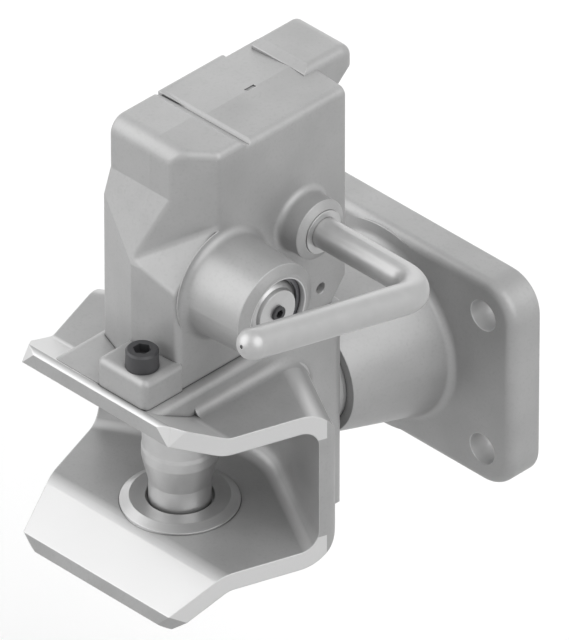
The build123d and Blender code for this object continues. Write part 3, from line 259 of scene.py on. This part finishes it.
class Recipe(Nodes):
    """The nodes of one material, on Object coordinates in metres."""

    def __init__(self, name, **fixed):
        super().__init__(bpy.data.materials.new(name), "Principled BSDF")
        self.set(**fixed)
        self.place = self.node("ShaderNodeTexCoord", output="Object")

    def noise(self, size, detail):
        """Cloudy noise whose patches are about this size in metres."""
        inputs = {"Vector": self.place, "Scale": 1.0 / size, "Detail": detail}
        return self.node("ShaderNodeTexNoise", inputs=inputs)

    def mix(self, factor, first, second):
        """A colour between two colours, which are sockets 6 and 7 of the Mix node."""
        inputs = {0: factor, 6: colour(first), 7: colour(second)}
        return self.node("ShaderNodeMix", {"data_type": "RGBA"}, inputs, output=2)

    def centred(self, centre):
        """The place, counted from a centre."""
        inputs = {"Vector": self.place, "Location": tuple(-v for v in centre)}
        return self.node("ShaderNodeMapping", {"vector_type": "POINT"}, inputs)

    def axis(self, letter, place=None):
        """One coordinate of the place."""
        return self.node("ShaderNodeSeparateXYZ", inputs={0: place or self.place}, output=letter)

    def radius(self, along, centre):
        """The distance from an axis that runs along X, Y or Z through a centre."""
        place = self.centred(centre)
        first, second = [self.axis(letter, place) for letter in "XYZ" if letter != along]
        return (first * first + second * second) ** 0.5

    def beyond(self, letter, limit):
        """1 where a coordinate is above the limit, 0 below it."""
        return self.axis(letter).ramp(limit - MASK_EDGE, limit + MASK_EDGE)

    def within(self, along, centre, radius):
        """1 inside a bore of this radius, 0 outside it."""
        return 1.0 - self.radius(along, centre).ramp(radius, radius + MASK_EDGE)

    def edge_wear_and_highlight(self, radius):
        """1 on outer edges, 0 on flat ground, and the rounded normal that finds them. The
        finishes lighten their edges with the mask, as wear and as a painted highlight.
        """
        rounded = self.node("ShaderNodeBevel", {"samples": EDGE_SAMPLES}, {"Radius": radius})
        facing = self.node("ShaderNodeNewGeometry", output="Normal")
        alike = self.node("ShaderNodeVectorMath", {"operation": "DOT_PRODUCT"},
                          {0: rounded, 1: facing}, output="Value")
        return (1.0 - alike).ramp(*WEAR_HIGHLIGHT_RANGE), rounded

    def open_air(self, reach):
        """1 in the open, and less in corners and narrow gaps. The finishes darken their colour
        with it, as painted shade.
        """
        settings = {"samples": AIR_SAMPLES, "only_local": False}
        return self.node("ShaderNodeAmbientOcclusion", settings, {"Distance": reach}, output="AO")

    def facing(self, direction, spread=11.0, core=7.0):
        """1 on faces that look this way, or its mirror image, to within so many degrees."""
        normal = self.node("ShaderNodeNewGeometry", output="Normal")
        mirrored = self.node("ShaderNodeVectorMath", {"operation": "ABSOLUTE"}, {0: normal})
        alike = self.node("ShaderNodeVectorMath", {"operation": "DOT_PRODUCT"},
                          {0: mirrored, 1: tuple(abs(v) for v in direction)}, output="Value")
        return alike.ramp(math.cos(math.radians(spread)), math.cos(math.radians(core)))

    def bump(self, height, depth, normal):
        """A normal roughened by a height from 0 to 1 that stands for this depth in metres."""
        inputs = {"Height": height, "Distance": depth, "Strength": 1.0, "Normal": normal}
        return self.node("ShaderNodeBump", inputs=inputs)


def colour(value):
    """A colour with its alpha, or a wire as it is."""
    if isinstance(value, Wire):
        return value
    return (*value, 1.0)


def shade(tone, factor):
    """A colour made lighter or darker."""
    return tuple(min(1.0, c * factor) for c in tone)


# Finishes


def cast_finish(name, tone, cuts_and_highlights):
    """A blasted casting under thin grey primer, pale where the mask of machined faces and painted
    highlights is 1, with a painted highlight on its edges and painted shade in its corners and
    creases.
    """
    recipe = Recipe(name, IOR=STEEL_IOR)
    cloud = recipe.noise(PRIMER_CLOUD, detail=2.0)
    grain = recipe.noise(CAST_GRAIN, detail=4.0)
    pit = recipe.noise(CAST_PIT, detail=2.0)
    wear_and_highlight, rounded = recipe.edge_wear_and_highlight(CAST_EDGE)
    air = recipe.open_air(CAST_SHADE_REACH)
    crease = recipe.open_air(CREASE_SHADE_REACH)
    cut = cuts_and_highlights(recipe)
    specks = grain.ramp(*SPECK_RANGE) * CAST_SPECK_SHARE
    darker, lighter = [shade(tone, patch) for patch in CAST_PATCHES]
    base = recipe.mix(cloud.ramp(*PATCH_RANGE), darker, lighter)
    base = recipe.mix(specks, base, shade(tone, CAST_SPECK))
    # pale machined faces, and on the jaw partly a painted highlight
    base = recipe.mix(cut, base, tones().planed)
    # lighter edges: wear and a painted highlight
    base = recipe.mix(wear_and_highlight * CAST_WORN_HIGHLIGHT_SHARE, base, shade(tone, CAST_WORN_HIGHLIGHT))
    # painted shade in corners and in creases
    base = recipe.mix(air.ramp(*CAST_SHADE_RANGE), shade(tone, CAST_PAINTED_SHADE), base)
    base = recipe.mix(crease.ramp(*CREASE_SHADE_RANGE), shade(tone, CAST_CREASE_SHADE), base)
    rough = CAST_ROUGH + cloud * CLOUD_ROUGH - wear_and_highlight * WORN_SMOOTH - cut * PLANED_SMOOTH
    metallic = CAST_METALLIC + cut * PLANED_METALLIC
    texture = grain * (1.0 - PIT_SHARE) + pit * PIT_SHARE
    normal = recipe.bump(texture * (1.0 - cut * PLANED_AWAY), CAST_RELIEF, rounded)
    return recipe.set(Base_Color=base, Metallic=metallic, Roughness=rough, Normal=normal)


def turned_finish(name, tone, along, centre):
    """Turned steel: fine rings round the axis that runs along X, Y or Z through the centre."""
    recipe = Recipe(name, Metallic=TURNED_METALLIC, IOR=STEEL_IOR)
    rings = recipe.axis(along) + recipe.radius(along, centre)
    marks = recipe.node("ShaderNodeTexNoise", {"noise_dimensions": "1D"},
                        {"W": rings, "Scale": 1.0 / TURNING_MARK, "Detail": 2.0})
    cloud = recipe.noise(TURNED_CLOUD, detail=3.0)
    wear_and_highlight, rounded = recipe.edge_wear_and_highlight(TURNED_EDGE)
    air = recipe.open_air(STEEL_SHADE_REACH)
    stains = cloud.ramp(*STAIN_RANGE) * TURNED_STAIN_SHARE
    darker, lighter = [shade(tone, mark) for mark in TURNED_MARKS]
    base = recipe.mix(marks, darker, lighter)
    base = recipe.mix(stains, base, shade(tone, TURNED_STAIN))
    # lighter edges: wear and a painted highlight
    base = recipe.mix(wear_and_highlight * TURNED_WORN_HIGHLIGHT_SHARE, base, shade(tone, TURNED_WORN_HIGHLIGHT))
    # painted shade in corners
    base = recipe.mix(air.ramp(*STEEL_SHADE_RANGE), shade(tone, TURNED_PAINTED_SHADE), base)
    rough = TURNED_ROUGH + marks * MARKS_ROUGH + cloud * CLOUD_ROUGH
    normal = recipe.bump(marks, TURNED_RELIEF, rounded)
    return recipe.set(Base_Color=base, Roughness=rough, Normal=normal)


def plated_finish(name, tone, rough=PLATED_ROUGH, metallic=PLATED_METALLIC):
    """Drawn, forged or plated steel with a soft cloudy sheen."""
    recipe = Recipe(name, Metallic=metallic, IOR=STEEL_IOR)
    cloud = recipe.noise(PLATED_CLOUD, detail=3.0)
    grain = recipe.noise(PLATED_GRAIN, detail=3.0)
    wear_and_highlight, rounded = recipe.edge_wear_and_highlight(PLATED_EDGE)
    air = recipe.open_air(STEEL_SHADE_REACH)
    darker, lighter = [shade(tone, patch) for patch in PLATED_PATCHES]
    base = recipe.mix(cloud, darker, lighter)
    # lighter edges: wear and a painted highlight
    base = recipe.mix(wear_and_highlight * PLATED_WORN_HIGHLIGHT_SHARE, base, shade(tone, PLATED_WORN_HIGHLIGHT))
    # painted shade in corners
    base = recipe.mix(air.ramp(*STEEL_SHADE_RANGE), shade(tone, PLATED_PAINTED_SHADE), base)
    rough = rough + cloud * PLATED_CLOUD_ROUGH
    normal = recipe.bump(grain, PLATED_RELIEF, rounded)
    return recipe.set(Base_Color=base, Roughness=rough, Normal=normal)


# Machined faces of the castings, and the jaw's painted highlights


def flange_cuts(recipe):
    """The planed rear face, the recess for the nut and the bolt holes."""
    sizes = bpy.context.scene.hitch_sizes
    rear = recipe.beyond("Y", -MASK_EDGE * 2.0)  # the whole of the face lies beyond this
    recess = recipe.within("Y", (0.0, 0.0, 0.0), sizes.recess_radius)
    cut = rear.or_else(recess * recipe.beyond("Y", -sizes.recess_depth))
    wide, high = sizes.bolt_spacing
    for x in (-wide / 2.0, wide / 2.0):
        for z in (-high / 2.0, high / 2.0):
            cut = cut.or_else(recipe.within("Y", (x, 0.0, z), sizes.bolt_radius))
    return cut


def jaw_cuts_and_highlights(recipe):
    """The planed sides of both plates, the lower lip, the upper facets and the shank. The plates,
    the lip and the facets are picked by the way they look, and are pale partly as bare metal and
    partly as a painted highlight.
    """
    sizes = bpy.context.scene.hitch_sizes
    height = recipe.axis("Z")
    plates = (height * height).ramp((sizes.plate_start - MASK_EDGE) ** 2,
                                    (sizes.plate_start + MASK_EDGE) ** 2)
    front = 1.0 - recipe.beyond("Y", sizes.plate_rear)
    cut = recipe.facing(PLATE_SIDE) * plates * front
    # the lower lip's slope: pale partly as bare metal and partly as a painted highlight that
    # fades over its rounds
    cut = cut.or_else(recipe.facing(LIP_SLOPE, LIP_HIGHLIGHT_SPREAD, LIP_CORE))
    for facet in UPPER_FACETS:
        cut = cut.or_else(recipe.facing(facet) * recipe.beyond("Z", 0.0))
    return cut.or_else(recipe.beyond("Y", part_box("front_bearing_bush")[0].y))


def housing_cuts(recipe):
    """The faced ends and bores of both bosses, and the vent."""
    sizes = bpy.context.scene.hitch_sizes
    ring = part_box("retaining_ring")
    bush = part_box("outer_lever_bush")
    bore_r = (ring[1].z - ring[0].z) / 2.0 - RING_IN_GROOVE
    bush_r = (bush[1].z - bush[0].z) / 2.0 + FACED_RING
    cut = recipe.within("X", middle("boss_cover"), bore_r) * recipe.beyond("X", ring[0].x)
    cut = cut.or_else(recipe.within("X", middle("outer_lever_bush"), bush_r)
                      * recipe.beyond("X", bush[1].x - FACED_DEPTH))
    vent = (0.0, *sizes.vent_place)
    inside = 1.0 - recipe.beyond("X", sizes.vent_face)
    return cut.or_else(recipe.within("X", vent, sizes.vent_radius) * inside)


def no_cuts(recipe):
    """A casting with no machined face in sight."""
    return 0.0


# Settings


class HitchTones(bpy.types.PropertyGroup):
    """Colours of the finishes and of the floor."""

    casting: bpy.props.FloatVectorProperty(
        name="Casting", description="Grey of the primed castings", subtype="COLOR",
        default=(0.38, 0.38, 0.38))
    # pale machined faces, also used for the jaw's painted highlight
    planed: bpy.props.FloatVectorProperty(
        name="Planed face", description="Bare machined faces of the castings", subtype="COLOR",
        default=(0.63, 0.63, 0.63))
    bright: bpy.props.FloatVectorProperty(
        name="Bright steel", description="Turned and ground steel", subtype="COLOR",
        default=(0.50, 0.50, 0.50))
    lever: bpy.props.FloatVectorProperty(
        name="Lever", description="Drawn bar of the hand lever", subtype="COLOR",
        default=(0.44, 0.44, 0.44))
    zinc: bpy.props.FloatVectorProperty(
        name="Zinc", description="Plated small parts", subtype="COLOR",
        default=(0.52, 0.52, 0.54))
    dark: bpy.props.FloatVectorProperty(
        name="Oiled steel", description="Springs, rings and oiled inner parts", subtype="COLOR",
        default=(0.16, 0.16, 0.17))
    oxide: bpy.props.FloatVectorProperty(
        name="Black oxide", description="Blackened screws", subtype="COLOR",
        default=(0.05, 0.05, 0.053))
    bronze: bpy.props.FloatVectorProperty(
        name="Bronze", description="Inner bushes", subtype="COLOR",
        default=(0.42, 0.27, 0.10))
    floor: bpy.props.FloatVectorProperty(
        name="Floor", description="Floor where it is seen", subtype="COLOR",
        default=(0.97, 0.97, 0.97))
    floor_bounce: bpy.props.FloatVectorProperty(
        name="Floor's light", description="Floor in the light that it gives back",
        subtype="COLOR", default=(0.35, 0.35, 0.35))


class HitchSizes(bpy.types.PropertyGroup):
    """Sizes of the added pieces and places of the machined faces."""

    recess_radius: bpy.props.FloatProperty(
        name="Recess radius", description="Recess for the nut in the flange", unit="LENGTH",
        default=36.1 * MM)
    recess_depth: bpy.props.FloatProperty(
        name="Recess depth", description="How deep the nut's recess is", unit="LENGTH",
        default=33.2 * MM)
    bolt_spacing: bpy.props.FloatVectorProperty(
        name="Bolt spacing", description="Flange bolts across and upwards", size=2,
        subtype="XYZ_LENGTH", default=(140.0 * MM, 80.0 * MM))
    bolt_radius: bpy.props.FloatProperty(
        name="Bolt hole radius", description="Bolt holes of the flange", unit="LENGTH",
        default=8.6 * MM)
    plate_start: bpy.props.FloatProperty(
        name="Plate start", description="Height at which the plates' planed sides start",
        unit="LENGTH", default=29.0 * MM)
    plate_rear: bpy.props.FloatProperty(
        name="Plate rear", description="Y at which the plates' planed sides end", unit="LENGTH",
        default=-137.0 * MM)
    vent_place: bpy.props.FloatVectorProperty(
        name="Vent", description="Y and Z of the small hole in the right side", size=2,
        subtype="XYZ_LENGTH", default=(-93.4 * MM, 72.6 * MM))
    vent_radius: bpy.props.FloatProperty(
        name="Vent radius", description="Small hole in the right side", unit="LENGTH",
        default=3.05 * MM)
    vent_face: bpy.props.FloatProperty(
        name="Vent face", description="X of the side that the vent starts in", unit="LENGTH",
        default=29.9 * MM)
    screw_head: bpy.props.FloatProperty(
        name="Screw head height", description="Head of the cap screw", unit="LENGTH",
        default=10.0 * MM)
    screw_bevel: bpy.props.FloatProperty(
        name="Screw bevel", description="Width of the ring round the head's top", unit="LENGTH",
        default=1.0 * MM)
    screw_hex: bpy.props.FloatProperty(
        name="Screw socket", description="Width across the flats of the socket", unit="LENGTH",
        default=8.0 * MM)
    socket_depth: bpy.props.FloatProperty(
        name="Socket depth", description="Depth of the socket's flats", unit="LENGTH",
        default=5.0 * MM)
    screw_shank: bpy.props.FloatProperty(
        name="Screw shank radius", description="Thread of the cap screw, outside", unit="LENGTH",
        default=5.0 * MM)
    screw_smooth: bpy.props.FloatProperty(
        name="Smooth shank", description="Length under the head without a thread", unit="LENGTH",
        default=5.0 * MM)
    thread_pitch: bpy.props.FloatProperty(
        name="Thread pitch", description="Pitch of the cap screw", unit="LENGTH",
        default=1.5 * MM)
    eye: bpy.props.FloatProperty(
        name="Split pin eye", description="Half the width of the eye", unit="LENGTH",
        default=2.4 * MM)


class HitchStudio(bpy.types.PropertyGroup):
    """Camera, lamps and the floor's place."""

    centre: bpy.props.FloatVectorProperty(
        name="Centre", description="What the camera looks at", subtype="TRANSLATION",
        unit="LENGTH", default=(0.0, -88.4 * MM, 36.1 * MM))
    height: bpy.props.FloatProperty(
        name="Picture height", description="Height that the picture shows at the centre",
        unit="LENGTH", default=313.1 * MM)
    lens: bpy.props.FloatProperty(
        name="Lens", description="Focal length in millimetres", unit="CAMERA", default=1100.0)
    floor: bpy.props.FloatProperty(
        name="Floor", description="Height of the floor under the flange's middle", unit="LENGTH",
        default=-290.0 * MM)
    left: bpy.props.FloatProperty(
        name="Left light", description="Strength of the broad lamp left of the camera",
        default=1.7)
    right: bpy.props.FloatProperty(
        name="Right light", description="Strength of the broad lamp right of the camera",
        default=1.5)
    back: bpy.props.FloatProperty(
        name="Back light", description="Strength of the broad lamp behind", default=0.6)
    room: bpy.props.FloatProperty(
        name="Room light", description="Strength of the even light all round", default=0.48)


def tones():
    """The colours as the sidebar's scene holds them."""
    return bpy.context.scene.hitch_tones


def wear(node, material):
    """Gives a node of the frame its material."""
    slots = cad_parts[node].data.materials
    slots.clear()
    slots.append(material)


def middle(node):
    """The middle of a node's box."""
    low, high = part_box(node)
    return (low + high) / 2.0


# Modelling helpers


def deselect():
    """Selects nothing, because operators act on all that is selected."""
    bpy.ops.object.select_all(action="DESELECT")


def looks_up(face):
    """Whether a face looks straight up."""
    return face.normal.z > STRAIGHT


def looks_down(face):
    """Whether a face looks straight down."""
    return face.normal.z < -STRAIGHT


def pick(piece, wanted):
    """Opens a piece for editing with the faces selected for which wanted is true."""
    bpy.ops.object.mode_set(mode="EDIT")
    bpy.ops.mesh.select_mode(type="FACE")
    bpy.ops.mesh.select_all(action="DESELECT")
    bpy.ops.object.mode_set(mode="OBJECT")
    for face in piece.data.polygons:
        face.select = wanted(face)
    bpy.ops.object.mode_set(mode="EDIT")


def extrude_down(length, size=1.0):
    """Extrudes the selected face downwards and makes its end larger or smaller."""
    bpy.ops.mesh.extrude_region_move(TRANSFORM_OT_translate={"value": (0.0, 0.0, -length)})
    bpy.ops.transform.resize(value=(size, size, 1.0))


def cut_out(piece, tool):
    """Takes the tool's form out of a piece and deletes the tool."""
    deselect()
    bpy.context.view_layer.objects.active = piece
    piece.select_set(True)
    modifier = piece.modifiers.new("cut", "BOOLEAN")
    modifier.operation = "DIFFERENCE"
    modifier.object = tool
    bpy.ops.object.modifier_apply(modifier=modifier.name)
    bpy.data.objects.remove(tool)


def finish_piece(piece, crease, material):
    """Puts a piece's place in its mesh, smooths it up to a crease in degrees, and paints it."""
    bpy.ops.object.transform_apply(location=True, rotation=True, scale=True)
    bpy.ops.object.shade_smooth_by_angle(angle=math.radians(crease))
    piece.data.materials.clear()
    piece.data.materials.append(material)


# Pieces


class HITCH_OT_castings(bpy.types.Operator):
    """Finish the flange, the jaw, the housing and the shaft plug"""

    bl_idname = "hitch.castings"
    bl_label = "Castings"

    def execute(self, context):
        tone = tones().casting
        wear("bearing_flange", cast_finish("flange_casting", tone, flange_cuts))
        wear("jaw", cast_finish("jaw_casting", tone, jaw_cuts_and_highlights))
        wear("housing", cast_finish("housing_casting", tone, housing_cuts))
        wear("shaft_plug", cast_finish("plug_casting", tone, no_cuts))
        return {"FINISHED"}


class HITCH_OT_turned_steel(bpy.types.Operator):
    """Finish the coupling pin, the rings, the bushes and the other turned pieces"""

    bl_idname = "hitch.turned_steel"
    bl_label = "Turned steel"

    def execute(self, context):
        bright = tones().bright
        dark = tones().dark
        bronze = tones().bronze
        pieces = {
            "coupling_pin": ("Z", bright), "lower_wear_ring": ("Z", bright),
            "upper_guide_bush": ("Z", bright), "locating_dowels": ("Z", bright),
            "outer_lever_bush": ("X", bright), "boss_cover": ("X", bright),
            "trigger_pivot": ("X", bright), "holding_plunger": ("X", bright),
            "front_bearing_bush": ("Y", bright), "rear_washer": ("Y", tones().zinc),
            "disc_spring": ("Y", dark), "rear_bearing_bush": ("Y", bronze),
            "inner_lever_bush": ("X", bronze),
        }
        for node, (along, tone) in pieces.items():
            wear(node, turned_finish(f"{node}_turned", tone, along, middle(node)))
        return {"FINISHED"}


class HITCH_OT_plated_steel(bpy.types.Operator):
    """Finish the hand lever, the fork, the springs, the nut and the small steel pieces"""

    bl_idname = "hitch.plated_steel"
    bl_label = "Plated and oiled steel"

    def execute(self, context):
        zinc = tones().zinc
        dark = tones().dark
        wear("hand_lever", plated_finish("lever_bar", tones().lever))
        for node in ("castle_nut", "grease_nipple"):
            wear(node, plated_finish(f"{node}_zinc", zinc))
        for node in ("lift_fork", "trigger_lever", "fork_pin"):
            wear(node, plated_finish(f"{node}_oiled", shade(dark, OILED_SHADE), OILED_ROUGH))
        for node in ("closing_spring", "trigger_spring", "plunger_spring", "retaining_ring"):
            wear(node, plated_finish(f"{node}_spring", dark, SPRING_ROUGH))
        blackened = (tones().oxide, OXIDE_ROUGH, OXIDE_METALLIC)
        wear("cover_screw", plated_finish("cover_screw_oxide", *blackened))
        wear("housing_screw", plated_finish("hidden_screw_oxide", *blackened))
        wear("split_pin", plated_finish("hidden_split_pin_zinc", zinc))
        return {"FINISHED"}


class HITCH_OT_cap_screw(bpy.types.Operator):
    """Model the black socket screw in the foot, with its bevelled head and its thread"""

    bl_idname = "hitch.cap_screw"
    bl_label = "Cap screw"

    def execute(self, context):
        sizes = context.scene.hitch_sizes
        low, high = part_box("housing_screw")
        centre = middle("housing_screw")
        head_r = (high.x - low.x) / 2.0
        seat = high.z - sizes.screw_head
        deselect()
        bpy.ops.mesh.primitive_cylinder_add(
            vertices=ROUND_SIDES, radius=head_r, depth=sizes.screw_head,
            location=(centre.x, centre.y, (high.z + seat) / 2.0))
        screw = context.object
        screw.name = "cap_screw"
        pick(screw, looks_up)
        bpy.ops.mesh.bevel(offset=sizes.screw_bevel, segments=1, affect="EDGES")
        pick(screw, looks_down)
        bpy.ops.mesh.inset(thickness=head_r - sizes.screw_shank)
        self.thread(seat, low.z, sizes)
        bpy.ops.object.mode_set(mode="OBJECT")
        cut_out(screw, self.socket(centre, high.z, sizes))
        blackened = (tones().oxide, CAP_SCREW_ROUGH, OXIDE_METALLIC)
        finish_piece(screw, SCREW_CREASE, plated_finish("cap_screw_oxide", *blackened))
        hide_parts("housing_screw")
        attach(screw, "head")
        return {"FINISHED"}

    def thread(self, seat, tip, sizes):
        """The smooth shank and the threaded one, from the head's seat down to the tip."""
        pitch = sizes.thread_pitch
        root = 1.0 - THREAD_DEPTH * pitch / sizes.screw_shank
        turns = int((seat - sizes.screw_smooth - tip) / pitch)
        extrude_down(sizes.screw_smooth)
        for _ in range(turns):
            extrude_down(pitch / 2.0, root)
            extrude_down(pitch / 2.0, 1.0 / root)
        extrude_down(seat - sizes.screw_smooth - turns * pitch - tip, root)

    def socket(self, centre, top, sizes):
        """The hexagonal socket with the drill's point at its bottom."""
        deselect()
        bpy.ops.mesh.primitive_cylinder_add(
            vertices=HEXAGON, radius=sizes.screw_hex / math.sqrt(3.0),
            depth=sizes.socket_depth * 2.0, location=(centre.x, centre.y, top))
        tool = bpy.context.object
        pick(tool, looks_down)
        bpy.ops.mesh.poke(offset=sizes.screw_hex * DRILL_POINT)
        bpy.ops.object.mode_set(mode="OBJECT")
        return tool


class HITCH_OT_split_pin(bpy.types.Operator):
    """Model the split pin of the castle nut, with its eye and its two bent legs"""

    bl_idname = "hitch.split_pin"
    bl_label = "Split pin"

    def execute(self, context):
        low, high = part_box("split_pin")
        centre_y = middle("split_pin").y
        wire_r = (high.z - low.z) / 4.0  # two wires lie side by side in the hole
        crown = high.x + wire_r
        leg = self.leg(crown, wire_r, context.scene.hitch_sizes.eye)
        eye_end = (-crown - EYE_END * wire_r, 0.0, 0.0)
        other = [(x, -y, -z) for x, y, z in reversed(leg)]
        route = [*leg, eye_end, *other]
        deselect()
        bpy.ops.curve.primitive_bezier_curve_add()
        pin = context.object
        pin.name = "split_pin_bent"
        points = pin.data.splines[0].bezier_points
        points.add(len(route) - len(points))
        for point, (x, y, z) in zip(points, route):
            point.co = (x, centre_y + y, z)
            point.handle_left_type = "AUTO"
            point.handle_right_type = "AUTO"
        pin.data.bevel_depth = wire_r
        pin.data.bevel_resolution = PIN_ROUNDNESS
        pin.data.use_fill_caps = True
        bpy.ops.object.convert(target="MESH")
        finish_piece(pin, PIN_CREASE, plated_finish("split_pin_zinc", tones().zinc))
        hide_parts("split_pin")
        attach(pin, "head")
        return {"FINISHED"}

    def leg(self, crown, wire_r, eye):
        """The route of one leg, from its bent tip through the hole to the side of the eye."""
        turns = [math.radians(angle) for angle in LEG_TIP]
        route = [(crown * math.cos(turn), wire_r, crown * math.sin(turn)) for turn in turns]
        route += [(crown + out * wire_r, wire_r, up * wire_r) for out, up in LEG_BEND]
        route += [(crown * share, wire_r, 0.0) for share in LEG_RUN]
        return route + [(-crown, wire_r, 0.0), (-crown - EYE_WIDEST * wire_r, eye, 0.0)]


# Stage


def seen_directly(nodes):
    """1 for rays that see a thing themselves, in glass and metal too, 0 for light's bounces."""
    rays = ("Is Camera Ray", "Is Glossy Ray", "Is Transmission Ray")
    camera, glossy, through = [nodes.node("ShaderNodeLightPath", output=ray) for ray in rays]
    return camera.or_else(glossy).or_else(through)


def make_room(strength):
    """An even pale room, plain white where it is seen."""
    room = Nodes(bpy.data.worlds.new("room"), "Background")
    level = seen_directly(room) * (1.0 - strength) + strength
    bpy.context.scene.world = room.set(Color=(1.0, 1.0, 1.0, 1.0), Strength=level)


def make_floor(level):
    """A wide plain floor, pale where it is seen and greyer in the light that it gives back."""
    bpy.ops.mesh.primitive_circle_add(vertices=FLOOR_SIDES, radius=FLOOR_RADIUS,
                                      fill_type="NGON", location=(0.0, 0.0, level))
    floor = bpy.context.object
    floor.name = "floor"
    recipe = Recipe("floor_paint", Metallic=0.0, IOR=FLOOR_IOR)
    base = recipe.mix(seen_directly(recipe), tones().floor_bounce, tones().floor)
    rough = recipe.noise(FLOOR_CLOUD, detail=2.0) * FLOOR_CLOUD_ROUGH + FLOOR_ROUGH
    floor.data.materials.append(recipe.set(Base_Color=base, Roughness=rough))


def make_lamp(name, towards, angle, strength):
    """A broad soft lamp that shines from that direction."""
    bpy.ops.object.light_add(type="SUN", location=(0.0, 0.0, 1.0))
    lamp = bpy.context.object
    lamp.name = name
    lamp.rotation_mode = "QUATERNION"
    lamp.rotation_quaternion = towards.to_track_quat("Z", "Y")
    lamp.data.angle = math.radians(angle)
    lamp.data.energy = strength


def make_camera(studio):
    """The photo's camera: from the right, the front and above, all three alike."""
    isometric = Vector((1.0, -1.0, 1.0)).normalized()
    data = bpy.data.cameras.new("camera")
    data.lens = studio.lens
    data.sensor_fit = "VERTICAL"
    data.sensor_height = SENSOR_HEIGHT
    distance = studio.height * studio.lens / data.sensor_height
    data.clip_end = distance * FARTHEST
    camera = bpy.data.objects.new("camera", data)
    bpy.context.scene.collection.objects.link(camera)
    camera.location = Vector(studio.centre) + isometric * distance
    camera.rotation_euler = isometric.to_track_quat("Z", "Y").to_euler()
    bpy.context.scene.camera = camera


class HITCH_OT_stage(bpy.types.Operator):
    """Set up the floor, the even room, the lamps and the camera"""

    bl_idname = "hitch.stage"
    bl_label = "Stage"

    def execute(self, context):
        studio = context.scene.hitch_studio
        make_room(studio.room)
        make_floor(studio.floor)
        for name, towards, angle in LAMPS:
            make_lamp(f"{name}_lamp", Vector(towards), angle, getattr(studio, name))
        make_camera(studio)
        context.scene.view_settings.view_transform = "Standard"
        return {"FINISHED"}


class HITCH_PT_sidebar(bpy.types.Panel):
    """Steps of the hitch in the sidebar"""

    bl_label = "Tow Hitch"
    bl_space_type = "VIEW_3D"
    bl_region_type = "UI"
    bl_category = "Tow Hitch"

    def draw(self, context):
        for step in STEPS:
            self.layout.operator(step.bl_idname)


STEPS = (
    HITCH_OT_castings,
    HITCH_OT_turned_steel,
    HITCH_OT_plated_steel,
    HITCH_OT_cap_screw,
    HITCH_OT_split_pin,
    HITCH_OT_stage,
)
CLASSES = (HitchTones, HitchSizes, HitchStudio, *STEPS, HITCH_PT_sidebar)


def register():
    """Adds the settings, the steps and the sidebar to Blender."""
    for cls in CLASSES:
        bpy.utils.register_class(cls)
    bpy.types.Scene.hitch_tones = bpy.props.PointerProperty(type=HitchTones)
    bpy.types.Scene.hitch_sizes = bpy.props.PointerProperty(type=HitchSizes)
    bpy.types.Scene.hitch_studio = bpy.props.PointerProperty(type=HitchStudio)


def unregister():
    """Takes out what register adds."""
    del bpy.types.Scene.hitch_studio
    del bpy.types.Scene.hitch_sizes
    del bpy.types.Scene.hitch_tones
    for cls in reversed(CLASSES):
        bpy.utils.unregister_class(cls)


def main():
    """Registers the settings and takes every step in order."""
    register()
    for step in STEPS:
        group, name = step.bl_idname.split(".")
        getattr(getattr(bpy.ops, group), name)()


if __name__ == "__main__":
    main()
